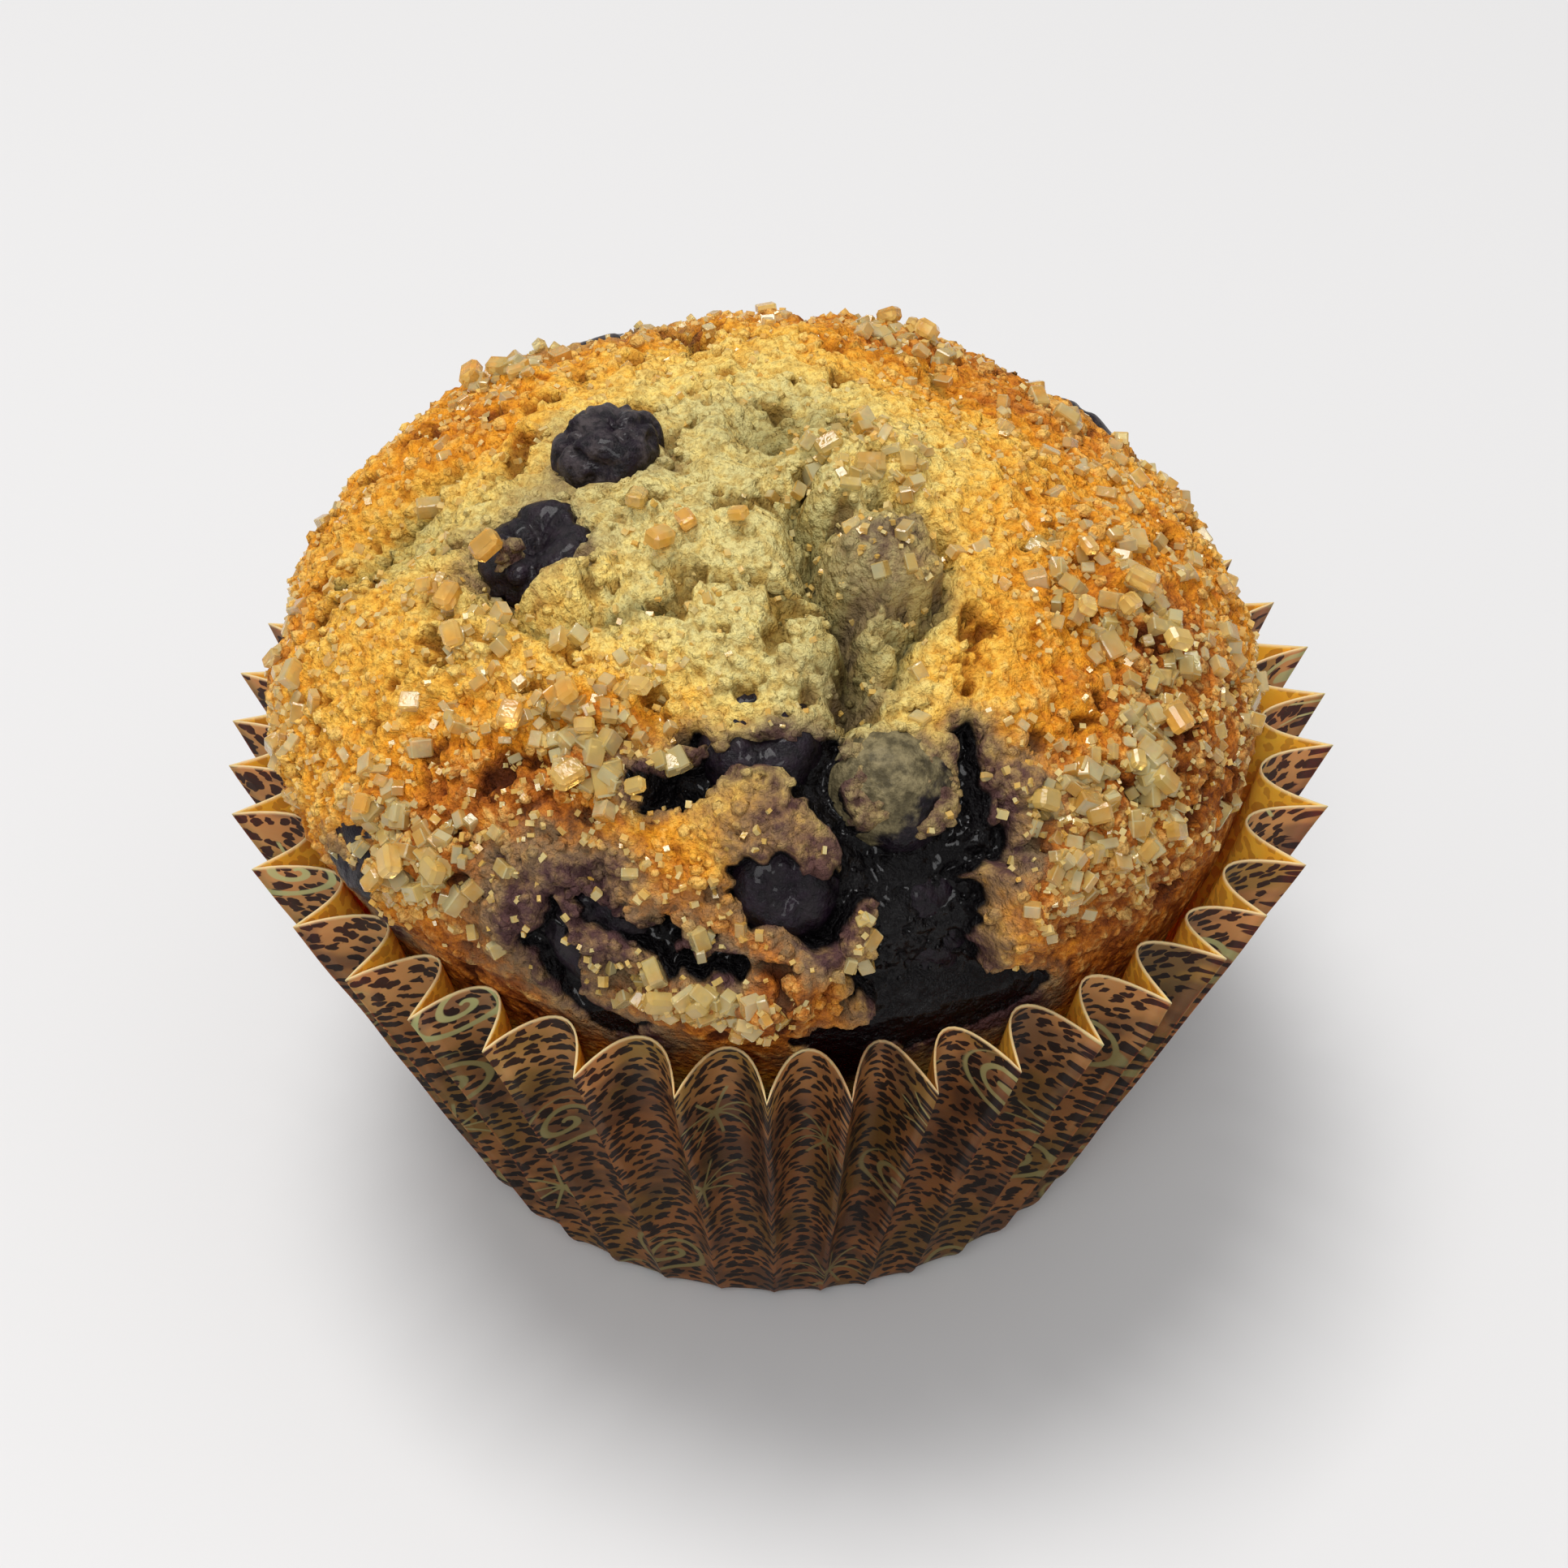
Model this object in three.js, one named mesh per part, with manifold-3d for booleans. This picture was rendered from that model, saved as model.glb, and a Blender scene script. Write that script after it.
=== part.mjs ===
// A blueberry muffin in a fluted paper baking cup, with coarse sugar crystals on its crust.
//
// Millimetres, +Z up. The origin is the middle of the cup's flat base, which stands on z = 0,
// and the muffin's front, where the juice has run, faces -Y.
// A place on the crust is given as an azimuth in degrees, anticlockwise from +X seen from above,
// and a tilt in degrees, 0 at the crown of the dome and 90 at its widest ring.

import * as THREE from "three";
import { ConvexGeometry } from "three/addons/geometries/ConvexGeometry.js";
import { ParametricGeometry } from "three/addons/geometries/ParametricGeometry.js";
import { mergeVertices } from "three/addons/utils/BufferGeometryUtils.js";
import Module from "manifold-3d";

const wasm = await Module();
wasm.setup();

// ---------------------------------------------------------------- driving dimensions

const CLEARANCE = 0.3; // gap between neighbouring pieces
const PAPER = 0.25; // wall of the cup, a little over real paper so that it is a sound solid

const CUP_HEIGHT = 35;
const CUP_FLAT_RADIUS = 22.5; // the flat disc that the muffin stands on
const CUP_FOOT_RADIUS = 25.2; // where the wall leaves the rounded foot
const CUP_FOOT_HEIGHT = 2.6;
const RIM_RADIUS = 36.6; // middle of the folds at the rim
const RIM_FOLD = 2.45; // how far a fold reaches either side of that
const FLUTES = 42;
const FLUTE_START = THREE.MathUtils.degToRad(-84);
const FLUTE_STEPS = 6; // points along one fold
const FOLD_SHARPNESS = 0.9; // under 1 pinches the outer crease and rounds the inner loop
const FOLD_OVERHANG = 0.045; // share of a fold by which the inner loop is widened

const DOME = { x: -1.2, z: 38.5, radius: 34.5, rise: 19.9 };
const DOME_STACKS = 20;
const BODY_STACKS = 7;
const CRUMB_SLICES = 72;

const CRYSTAL = { length: 1.6, width: 1.2, height: 1.0, chamfer: 0.22 };
const CRYSTAL_SPACING = 2.3;
const CRYSTAL_SMALLEST = 0.8; // scale of the smallest crystal in a drift
const CRYSTAL_GROWTH = 0.45; // and how much the largest is scaled beyond that
const CRYSTAL_SIZES = 5; // steps between the two
const CRYSTAL_TURN = 1.9; // radians that each crystal of a drift is turned beyond the last
const CRYSTAL_LEAN = 0.35; // the furthest that one leans, in radians
const LIFT_STEP = 0.1; // a crystal is raised by this much at a time until it is clear

const COLOURS = {
  crust: 0xd9a24a,
  paper: 0x8a6a4c,
  berry: 0x1d1826,
  sugar: 0xf1cf86,
};

// ---------------------------------------------------------------- lumps, hollows and berries

// Each lump or hollow of the crust: azimuth, tilt, spread and height in millimetres.
const RELIEF = [
  { what: "left lobe", azimuth: 218, tilt: 55, spread: 13, height: 1.2 },
  { what: "right lobe", azimuth: 335, tilt: 52, spread: 14, height: 0.9 },
  { what: "ridge beside the crack", azimuth: 262, tilt: 24, spread: 7, height: 0.8 },
  { what: "crown knob", azimuth: 2, tilt: 12, spread: 5, height: 0.9 },
  { what: "grey lump", azimuth: 303, tilt: 25, spread: 3.5, height: 0.9 },
  { what: "veiled lump", azimuth: 287, tilt: 52, spread: 4, height: 1.2 },
  { what: "crumb island", azimuth: 270, tilt: 54, spread: 3.5, height: 1.3 },
  { what: "front lump", azimuth: 268, tilt: 82, spread: 4.5, height: 0.8 },
  { what: "left notch", azimuth: 185, tilt: 46, spread: 5, height: -1.6 },
  { what: "burst pit", azimuth: 208, tilt: 27, spread: 3.6, height: -1.2 },
  { what: "crown hollow", azimuth: 60, tilt: 4, spread: 4, height: -0.9 },
  { what: "juice hollow", azimuth: 284, tilt: 64, spread: 4, height: -2.0 },
  { what: "lower juice hollow", azimuth: 292, tilt: 82, spread: 4.5, height: -2.0 },
  { what: "left juice hollow", azimuth: 250, tilt: 82, spread: 4, height: -1.6 },
];

// The open crack runs from the crown down to the juice hollow, as azimuth and tilt.
const CRACK = { depth: 1.4, width: 3, path: [[300, 12], [286, 28], [286, 43], [283, 58]] };

// Each berry: how big it is, and how deep its middle lies under the crust.
const BERRIES = [
  { name: "blueberry_crown", azimuth: 178, tilt: 17.5, radius: 4.0, sunk: 1.4 },
  { name: "blueberry_burst", azimuth: 208, tilt: 29, radius: 4.2, sunk: 1.6 },
  { name: "blueberry_middle", azimuth: 270, tilt: 44, radius: 4.6, sunk: 3.4 },
  { name: "blueberry_island", azimuth: 273, tilt: 67, radius: 3.5, sunk: 2.4 },
  { name: "blueberry_veiled", azimuth: 289, tilt: 53, radius: 4.3, sunk: 3.0 },
  { name: "blueberry_pool", azimuth: 290, tilt: 82, radius: 4.6, sunk: 3.6 },
  { name: "blueberry_front_left", azimuth: 251, tilt: 81, radius: 4.3, sunk: 2.8 },
  { name: "blueberry_rim_left", azimuth: 220, tilt: 84, radius: 3.4, sunk: 2.2 },
  { name: "blueberry_back_left", azimuth: 118, tilt: 50, radius: 4.3, sunk: 2.8 },
  { name: "blueberry_back_right", azimuth: 38, tilt: 62, radius: 4.0, sunk: 2.6 },
];

// The largest sugar crystals, in drifts: where each drift lies and how many crystals it has.
const DRIFTS = [
  { azimuth: 246, tilt: 48, count: 6 },
  { azimuth: 214, tilt: 42, count: 4 },
  { azimuth: 246, tilt: 19, count: 4 },
  { azimuth: 327, tilt: 14, count: 3 },
  { azimuth: 333, tilt: 48, count: 5 },
  { azimuth: 308, tilt: 73, count: 5 },
  { azimuth: 320, tilt: 69, count: 4 },
  { azimuth: 264, tilt: 86, count: 3 },
  { azimuth: 229, tilt: 76, count: 4 },
  { azimuth: 140, tilt: 44, count: 3 },
  { azimuth: 62, tilt: 42, count: 3 },
];

// ---------------------------------------------------------------- the dome's surface

const rad = THREE.MathUtils.degToRad;
const QUARTER_TURN = Math.PI / 2;

// A point of the plain dome, before its relief, for angles in radians.
function plainDome(azimuth, tilt) {
  const ring = DOME.radius * Math.sin(tilt);
  return new THREE.Vector3(
    DOME.x + ring * Math.cos(azimuth),
    ring * Math.sin(azimuth),
    DOME.z + DOME.rise * Math.cos(tilt),
  );
}

// The dome is an ellipsoid, so its outward normal is the gradient of its equation.
function domeNormal(point) {
  const across = DOME.radius ** 2;
  return new THREE.Vector3(
    (point.x - DOME.x) / across,
    point.y / across,
    (point.z - DOME.z) / DOME.rise ** 2,
  ).normalize();
}

const crackPoints = CRACK.path.map(([azimuth, tilt]) => plainDome(rad(azimuth), rad(tilt)));

function distanceToCrack(point) {
  const nearest = new THREE.Vector3();
  const distances = crackPoints.slice(1).map((end, i) => {
    new THREE.Line3(crackPoints[i], end).closestPointToPoint(point, true, nearest);
    return nearest.distanceTo(point);
  });
  return Math.min(...distances);
}

// How far the crust stands above the plain dome: rounded lumps and hollows, less the crack's furrow.
function reliefAt(point) {
  let height = 0;
  for (const lump of RELIEF) {
    const away = point.distanceTo(plainDome(rad(lump.azimuth), rad(lump.tilt)));
    height += lump.height * Math.exp(-((away / lump.spread) ** 2));
  }
  return height - CRACK.depth * Math.exp(-((distanceToCrack(point) / CRACK.width) ** 2));
}

function crustPoint(azimuth, tilt) {
  const plain = plainDome(azimuth, tilt);
  return plain.clone().addScaledVector(domeNormal(plain), reliefAt(plain));
}

// ---------------------------------------------------------------- the paper cup

// Stations of the cup's middle surface from the axis to the rim: radius, height and fold reach.
const RISE = CUP_HEIGHT - CUP_FOOT_HEIGHT;
const SPREAD = RIM_RADIUS - CUP_FOOT_RADIUS;
const FOOT_FOLD = 0.45;
const FOOT_BEND = { radius: 24.3, height: 0.85, fold: 0.15 }; // half way round the rounded foot
const wallStation = (share) => ({
  radius: CUP_FOOT_RADIUS + SPREAD * share,
  height: CUP_FOOT_HEIGHT + RISE * share,
  fold: FOOT_FOLD + (RIM_FOLD - FOOT_FOLD) * share,
});
const CUP_STATIONS = [
  { radius: 0, height: PAPER / 2, fold: 0 },
  { radius: CUP_FLAT_RADIUS, height: PAPER / 2, fold: 0 },
  FOOT_BEND,
  wallStation(0),
  wallStation(1 / 3),
  wallStation(2 / 3),
  wallStation(1),
];

// A fold's reach along its length, 1 at the sharp outer crease and -1 at the rounded inner loop.
const foldShape = (share) => 1 - 2 * Math.abs(Math.sin(Math.PI * share)) ** FOLD_SHARPNESS;

// Real folds are uneven, so the creases wander round the cup and differ a little in reach.
const creaseWander = (angle) => 0.02 * Math.sin(3 * angle + 0.6) + 0.012 * Math.sin(8 * angle + 2);
const reachWander = (angle) => 1 + 0.08 * Math.sin(5 * angle + 1) + 0.05 * Math.sin(13 * angle);
const WIDEST_REACH = 1.13; // the most that reachWander comes to
const SLOPE_STEP = 0.02; // share of a flute over which the sheet's slope is taken

// A point of the cup's middle surface: turn is in flutes round the cup, station is its own record.
function cupMiddle(turn, station) {
  const share = turn - Math.floor(turn);
  const eased = turn - FOLD_OVERHANG * Math.sin(2 * Math.PI * share);
  const even = FLUTE_START + (2 * Math.PI * eased) / FLUTES;
  const angle = even + creaseWander(even);
  const radius = station.radius + station.fold * foldShape(share) * reachWander(even);
  return new THREE.Vector3(radius * Math.cos(angle), radius * Math.sin(angle), station.height);
}

// The middle surface moved half the paper's thickness to one side, +1 outside and -1 inside.
function cupSkin(turn, index, side) {
  const station = CUP_STATIONS[index];
  const point = cupMiddle(turn, station);
  if (index < 2) return point.setZ(point.z - (side * PAPER) / 2);
  const along = cupMiddle(turn + SLOPE_STEP, station).sub(cupMiddle(turn - SLOPE_STEP, station));
  const below = CUP_STATIONS[index - 1];
  const above = CUP_STATIONS[Math.min(index + 1, CUP_STATIONS.length - 1)];
  const up = cupMiddle(turn, above).sub(cupMiddle(turn, below));
  const normal = along.cross(up).normalize();
  return point.addScaledVector(normal, (side * PAPER) / 2);
}

// One closed sheet: out along the underside to the rim, over its edge, and back down inside.
function makeCup() {
  const last = CUP_STATIONS.length - 1;
  const stacks = 2 * last + 1;
  const place = (u, v, target) => {
    const row = Math.min(Math.round(v * stacks), stacks);
    const turn = u * FLUTES;
    target.copy(row <= last ? cupSkin(turn, row, 1) : cupSkin(turn, stacks - row, -1));
  };
  return new ParametricGeometry(place, FLUTES * FLUTE_STEPS, stacks);
}

// ---------------------------------------------------------------- the crumb

// Radius of the crumb at a height inside the cup, clear of the paper's inner loops.
function bodyRadius(height) {
  const wall = wallStation((height - CUP_FOOT_HEIGHT) / RISE);
  return wall.radius - wall.fold * WIDEST_REACH - PAPER - CLEARANCE;
}

// Stations of the crumb below the dome, from the shoulder down to the middle of its underside.
const SEAT = 0.1; // a little extra room between the crumb and the paper
const UNDERSIDE = PAPER + CLEARANCE + SEAT;
const BODY_STATIONS = [
  { radius: 34.1, height: 37.2, x: -0.9 },
  { radius: bodyRadius(CUP_HEIGHT) + SEAT, height: CUP_HEIGHT + CLEARANCE + SEAT, x: -0.1 },
  { radius: bodyRadius(30), height: 30, x: 0 },
  { radius: bodyRadius(17), height: 17, x: 0 },
  { radius: bodyRadius(CUP_FOOT_HEIGHT + 1), height: CUP_FOOT_HEIGHT + 1, x: 0 },
  { radius: CUP_FLAT_RADIUS - 1, height: UNDERSIDE, x: 0 },
  { radius: 0, height: UNDERSIDE, x: 0 },
];

function crumbPlace(u, v, target) {
  const azimuth = -u * 2 * Math.PI;
  const row = Math.round(v * (DOME_STACKS + BODY_STACKS));
  if (row <= DOME_STACKS) {
    target.copy(crustPoint(azimuth, (row / DOME_STACKS) * QUARTER_TURN));
    return;
  }
  const station = BODY_STATIONS[row - DOME_STACKS - 1];
  target.set(
    station.x + station.radius * Math.cos(azimuth),
    station.radius * Math.sin(azimuth),
    station.height,
  );
}

// ---------------------------------------------------------------- berries and crystals

const BERRY_DIMPLE = 0.62; // height of the middle of a berry's crown, as a share of its radius
const POCKET_CROWN = 0.86; // a pocket has no dimple, so that it cuts no loose plug from the crust
const BERRY_SIDES = 14;

// A berry's outline: an oblate ball whose crown, where the blossom was, may be dimpled.
function berryGeometry(radius, crown) {
  const outline = [new THREE.Vector2(0, -0.86), new THREE.Vector2(0.45, -0.78)];
  outline.push(new THREE.Vector2(0.84, -0.45), new THREE.Vector2(1, 0));
  outline.push(new THREE.Vector2(0.86, 0.42), new THREE.Vector2(0.5, 0.76));
  outline.push(new THREE.Vector2(0.3, 0.8), new THREE.Vector2(0, crown));
  return new THREE.LatheGeometry(outline, BERRY_SIDES).scale(radius, radius, radius);
}

// Turns +Y, the lathe's axis, onto the crust's normal and moves the berry to its place.
function berryMatrix(berry) {
  const crust = crustPoint(rad(berry.azimuth), rad(berry.tilt));
  const normal = domeNormal(plainDome(rad(berry.azimuth), rad(berry.tilt)));
  const turn = new THREE.Quaternion().setFromUnitVectors(new THREE.Vector3(0, 1, 0), normal);
  const middle = crust.addScaledVector(normal, -berry.sunk);
  return new THREE.Matrix4().compose(middle, turn, new THREE.Vector3(1, 1, 1));
}

// A block with every edge and corner cut off, the shape of a coarse sugar crystal.
function crystalGeometry(scale, margin = 0) {
  const half = new THREE.Vector3(CRYSTAL.length, CRYSTAL.width, CRYSTAL.height)
    .multiplyScalar(scale / 2)
    .addScalar(margin);
  const cut = CRYSTAL.chamfer * scale;
  const points = [];
  for (const x of [-1, 1]) {
    for (const y of [-1, 1]) {
      for (const z of [-1, 1]) {
        points.push(new THREE.Vector3(x * half.x, y * (half.y - cut), z * (half.z - cut)));
        points.push(new THREE.Vector3(x * (half.x - cut), y * half.y, z * (half.z - cut)));
        points.push(new THREE.Vector3(x * (half.x - cut), y * (half.y - cut), z * half.z));
      }
    }
  }
  return new ConvexGeometry(points);
}

// ---------------------------------------------------------------- solids

const SAME_POINT = 1e-4; // points closer than this are one point

function toSolid(geometry) {
  const bare = new THREE.BufferGeometry().setAttribute("position", geometry.getAttribute("position"));
  if (geometry.index) bare.setIndex(geometry.index);
  const merged = mergeVertices(bare, SAME_POINT);
  return new wasm.Manifold(
    new wasm.Mesh({
      numProp: 3,
      vertProperties: merged.attributes.position.array,
      triVerts: new Uint32Array(merged.index.array),
    }),
  );
}

function toGeometry(solid) {
  const mesh = solid.getMesh();
  const geometry = new THREE.BufferGeometry();
  geometry.setAttribute("position", new THREE.BufferAttribute(mesh.vertProperties, 3));
  geometry.setIndex(new THREE.BufferAttribute(mesh.triVerts, 1));
  geometry.computeVertexNormals();
  return geometry;
}

const isEmpty = (solid) => solid.getMesh().triVerts.length === 0;

function makeCrumb() {
  const whole = new ParametricGeometry(crumbPlace, CRUMB_SLICES, DOME_STACKS + BODY_STACKS);
  let crumb = toSolid(whole);
  for (const berry of BERRIES) {
    const pocket = berryGeometry(berry.radius + CLEARANCE, POCKET_CROWN).applyMatrix4(berryMatrix(berry));
    crumb = crumb.subtract(toSolid(pocket));
  }
  return crumb;
}

// The crystals of every drift, spread like seeds in a sunflower and turned this way and that.
function makeCrystals(obstacles) {
  const crystals = [];
  const golden = Math.PI * (3 - Math.sqrt(5));
  for (const [d, drift] of DRIFTS.entries()) {
    const middle = plainDome(rad(drift.azimuth), rad(drift.tilt));
    const normal = domeNormal(middle);
    const east = new THREE.Vector3(-Math.sin(rad(drift.azimuth)), Math.cos(rad(drift.azimuth)), 0);
    const north = normal.clone().cross(east);
    for (let i = 0; i < drift.count; i++) {
      const reach = CRYSTAL_SPACING * Math.sqrt(i);
      const bearing = i * golden + d;
      const near = middle
        .clone()
        .addScaledVector(east, reach * Math.cos(bearing))
        .addScaledVector(north, reach * Math.sin(bearing));
      const step = (i * 7 + d * 3) % CRYSTAL_SIZES;
      const scale = CRYSTAL_SMALLEST + (CRYSTAL_GROWTH * step) / (CRYSTAL_SIZES - 1);
      crystals.push(restCrystal(near, scale, i * CRYSTAL_TURN + d, obstacles));
    }
  }
  return crystals;
}

// One crystal, set down on the crust and lifted until it is clear of everything under it.
function restCrystal(near, scale, spin, obstacles) {
  const away = new THREE.Vector3(near.x - DOME.x, near.y, near.z - DOME.z);
  away.divide(new THREE.Vector3(DOME.radius, DOME.radius, DOME.rise)).normalize();
  const azimuth = Math.atan2(away.y, away.x);
  const tilt = Math.acos(away.z);
  const normal = domeNormal(plainDome(azimuth, tilt));
  const lean = new THREE.Quaternion().setFromEuler(
    new THREE.Euler(CRYSTAL_LEAN * Math.sin(spin * 3), CRYSTAL_LEAN * Math.cos(spin * 5), spin),
  );
  const turn = new THREE.Quaternion().setFromUnitVectors(new THREE.Vector3(0, 0, 1), normal).multiply(lean);
  let lift = (CRYSTAL.height * scale) / 2;
  for (;;) {
    const place = crustPoint(azimuth, tilt).addScaledVector(normal, lift);
    const setDown = (geometry) => geometry.applyQuaternion(turn).translate(place.x, place.y, place.z);
    const room = toSolid(setDown(crystalGeometry(scale, CLEARANCE)));
    if (obstacles.every((other) => isEmpty(other.intersect(room)))) {
      const geometry = setDown(crystalGeometry(scale));
      obstacles.push(toSolid(geometry));
      return geometry;
    }
    lift += LIFT_STEP;
  }
}

// ---------------------------------------------------------------- assembly

const surface = (color, roughness) => new THREE.MeshStandardMaterial({ color, roughness, metalness: 0 });

function addPiece(group, name, geometry, material) {
  const mesh = new THREE.Mesh(geometry, material);
  mesh.name = name;
  group.add(mesh);
}

const muffin = new THREE.Group();
const crustSurface = surface(COLOURS.crust, 0.85);
const paperSurface = surface(COLOURS.paper, 0.8);
const berrySurface = surface(COLOURS.berry, 0.35);
const sugarSurface = surface(COLOURS.sugar, 0.2);

const crumbSolid = makeCrumb();
const cupGeometry = makeCup();
addPiece(muffin, "muffin_crumb", toGeometry(crumbSolid), crustSurface);
addPiece(muffin, "paper_cup", cupGeometry, paperSurface);

const obstacles = [crumbSolid, toSolid(cupGeometry)];
for (const berry of BERRIES) {
  const geometry = berryGeometry(berry.radius, BERRY_DIMPLE).applyMatrix4(berryMatrix(berry));
  obstacles.push(toSolid(geometry));
  addPiece(muffin, berry.name, geometry, berrySurface);
}
makeCrystals(obstacles).forEach((geometry, i) => {
  addPiece(muffin, `sugar_crystal_${String(i + 1).padStart(2, "0")}`, geometry, sugarSurface);
});

export default muffin;
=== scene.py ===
"""A blueberry muffin: sugared crust, burst berries and a printed paper cup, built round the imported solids.

Lengths are worked out in millimetres and put into the meshes in metres. The muffin stands on z = 0
and its front faces -Y. A place on the crust is an azimuth in degrees, anticlockwise from +X seen
from above, and a tilt in degrees, 0 at the crown of the dome and 90 at its widest ring.
"""

import math

import bpy
import numpy as np
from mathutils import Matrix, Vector


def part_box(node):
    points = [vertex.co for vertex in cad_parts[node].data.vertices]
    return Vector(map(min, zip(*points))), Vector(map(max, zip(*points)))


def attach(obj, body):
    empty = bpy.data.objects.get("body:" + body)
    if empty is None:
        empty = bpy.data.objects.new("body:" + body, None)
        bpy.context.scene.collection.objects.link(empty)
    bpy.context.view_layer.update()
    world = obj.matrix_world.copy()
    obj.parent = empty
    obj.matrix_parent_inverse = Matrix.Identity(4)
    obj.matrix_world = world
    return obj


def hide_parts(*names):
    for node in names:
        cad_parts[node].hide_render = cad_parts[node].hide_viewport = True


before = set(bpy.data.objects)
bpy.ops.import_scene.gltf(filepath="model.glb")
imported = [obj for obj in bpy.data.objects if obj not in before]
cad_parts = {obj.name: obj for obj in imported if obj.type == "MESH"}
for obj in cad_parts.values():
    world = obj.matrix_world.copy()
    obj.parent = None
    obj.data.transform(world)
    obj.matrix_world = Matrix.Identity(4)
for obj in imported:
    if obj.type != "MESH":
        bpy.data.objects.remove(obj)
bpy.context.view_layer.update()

MM = 0.001

# ---------------------------------------------------------------- repeatable random texture


def scramble(cell, seed):
    """A repeatable number from 0 to 1 for each whole-number cell, made by mixing the bits of its place."""
    mixed = (cell * np.array([73856093, 19349663, 83492791])).sum(-1) + seed * 7919
    mixed = mixed.astype(np.uint64) & np.uint64(0xFFFFFFFF)
    for shift, factor in ((15, 2246822519), (13, 3266489917)):
        mixed = ((mixed ^ (mixed >> np.uint64(shift))) * np.uint64(factor)) & np.uint64(0xFFFFFFFF)
    return (mixed ^ (mixed >> np.uint64(16))) / 2.0**32


def noise(points, size, seed):
    """Smooth random height from -1 to 1: random corner values eased across each cell of that size."""
    place = points / size
    cell = np.floor(place).astype(np.int64)
    ease = place - cell
    ease = ease * ease * (3 - 2 * ease)
    total = 0
    for corner in np.ndindex(2, 2, 2):
        weight = np.prod(np.where(corner, ease, 1 - ease), axis=-1)
        total = total + weight * scramble(cell + corner, seed)
    return 2 * total - 1


def layered(points, size, seed, layers=3):
    """Noise with finer and fainter noise on it, each layer half the size and half the height."""
    return sum(noise(points, size / 2**k, seed + k) / 2**k for k in range(layers)) / 1.6


def pebbles(points, size, seed):
    """Distance in cells to the nearest of the points scattered one to a cell, and that point's own number."""
    place = points / size
    cell = np.floor(place).astype(np.int64)
    nearest = np.full(len(points), 9.0)
    own = np.zeros(len(points))
    for step in np.ndindex(3, 3, 3):
        beside = cell + step - 1
        spot = beside + np.stack([scramble(beside, seed + k) for k in range(3)], -1)
        distance = np.linalg.norm(spot - place, axis=-1)
        own = np.where(distance < nearest, scramble(beside, seed + 3), own)
        nearest = np.minimum(distance, nearest)
    return nearest, own


def ramp(value, low, high):
    """0 below low, 1 above high and an eased slope between."""
    share = np.clip((value - low) / (high - low), 0, 1)
    return share * share * (3 - 2 * share)


# ---------------------------------------------------------------- the dome

DOME_X, DOME_Z = -1.2, 38.5
DOME_RADIUS, DOME_RISE = 34.5, 19.9
TUCK = 0.17  # how far past the widest ring the crust is finely meshed, as a share of crown to ring
TUCK_IN, TUCK_DOWN = 2.0, 7.0  # how far the crumb draws in and drops over that stretch


def unit(vectors):
    return vectors / np.linalg.norm(vectors, axis=-1, keepdims=True)


def dome(azimuth, reach):
    """Plain dome and its outward normals, for azimuths in radians and reach 0 at the crown, 1 at the ring.

    To the ring it is an ellipsoid. Past it the radius falls as the 1.5th power of the distance gone,
    the height falls evenly, and the rings move sideways until they are centred in the cup.
    """
    tilt = np.minimum(reach, 1) * math.pi / 2
    past = np.clip((reach - 1) / TUCK, 0, 1)
    radius = DOME_RADIUS * np.sin(tilt) - TUCK_IN * past**1.5
    along = np.stack([np.cos(azimuth), np.sin(azimuth)], -1)
    points = np.empty(azimuth.shape + (3,))
    points[..., :2] = radius[..., None] * along
    points[..., 0] += DOME_X * (1 - past)
    points[..., 2] = DOME_Z + DOME_RISE * np.cos(tilt) - TUCK_DOWN * past
    normals = np.empty_like(points)
    normals[..., :2] = along * (np.sin(tilt) / DOME_RADIUS)[..., None]
    normals[..., 2] = np.cos(tilt) / DOME_RISE - past * 0.4 / DOME_RADIUS
    return points, unit(normals)


def place(azimuth, tilt):
    """One point of the plain dome, for angles in degrees."""
    return dome(np.radians(float(azimuth)), np.array(tilt / 90.0))[0]


def reach_of(points):
    """Azimuth and reach of the dome point straight under each point, along lines from the dome's middle."""
    away = points - np.array([DOME_X, 0, DOME_Z])
    away = unit(away / np.array([DOME_RADIUS, DOME_RADIUS, DOME_RISE]))
    return np.arctan2(away[:, 1], away[:, 0]), np.arccos(np.clip(away[:, 2], -1, 1)) / (math.pi / 2)


def seats_of(names):
    """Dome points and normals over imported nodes, and how high the middle of each node's box stands there."""
    boxes = np.array([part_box(name) for name in names]) / MM
    middles = boxes.mean(1)
    under, normals = dome(*reach_of(middles))
    return under, normals, np.sum((middles - under) * normals, axis=-1)


def beside(berry, across, down):
    """A place on the dome so many mm right of a berry, seen from outside, and so many down the slope."""
    seat, normal, _ = seats_of(["blueberry_" + berry])
    right = unit(np.cross([0.0, 0.0, 1.0], normal))
    moved = seat + across * right + down * np.cross(right, normal)
    return dome(*reach_of(moved))[0][0]


def spot(step):
    """A place given either beside a named berry or as an azimuth and a tilt."""
    return beside(*step) if isinstance(step[0], str) else place(*step)


def patch(points, step, spread, edge=2):
    """1 at a place on the crust, fading with distance as exp(-(distance / spread) ** edge)."""
    distance = np.linalg.norm(points - spot(step), axis=-1)
    return np.exp(-((distance / spread) ** edge))


def path_distance(points, path):
    """Distance to a line through places on the crust, the least over its straight pieces."""
    corners = np.array([spot(step) for step in path])
    nearest = np.full(len(points), 1e9)
    for start, end in zip(corners[:-1], corners[1:]):
        along = end - start
        share = np.clip((points - start) @ along / (along @ along), 0, 1)
        nearest = np.minimum(nearest, np.linalg.norm(points - start - share[:, None] * along, axis=-1))
    return nearest


# ---------------------------------------------------------------- what lies where on the crust

crystal_nodes = [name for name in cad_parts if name.startswith("sugar_crystal")]

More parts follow.
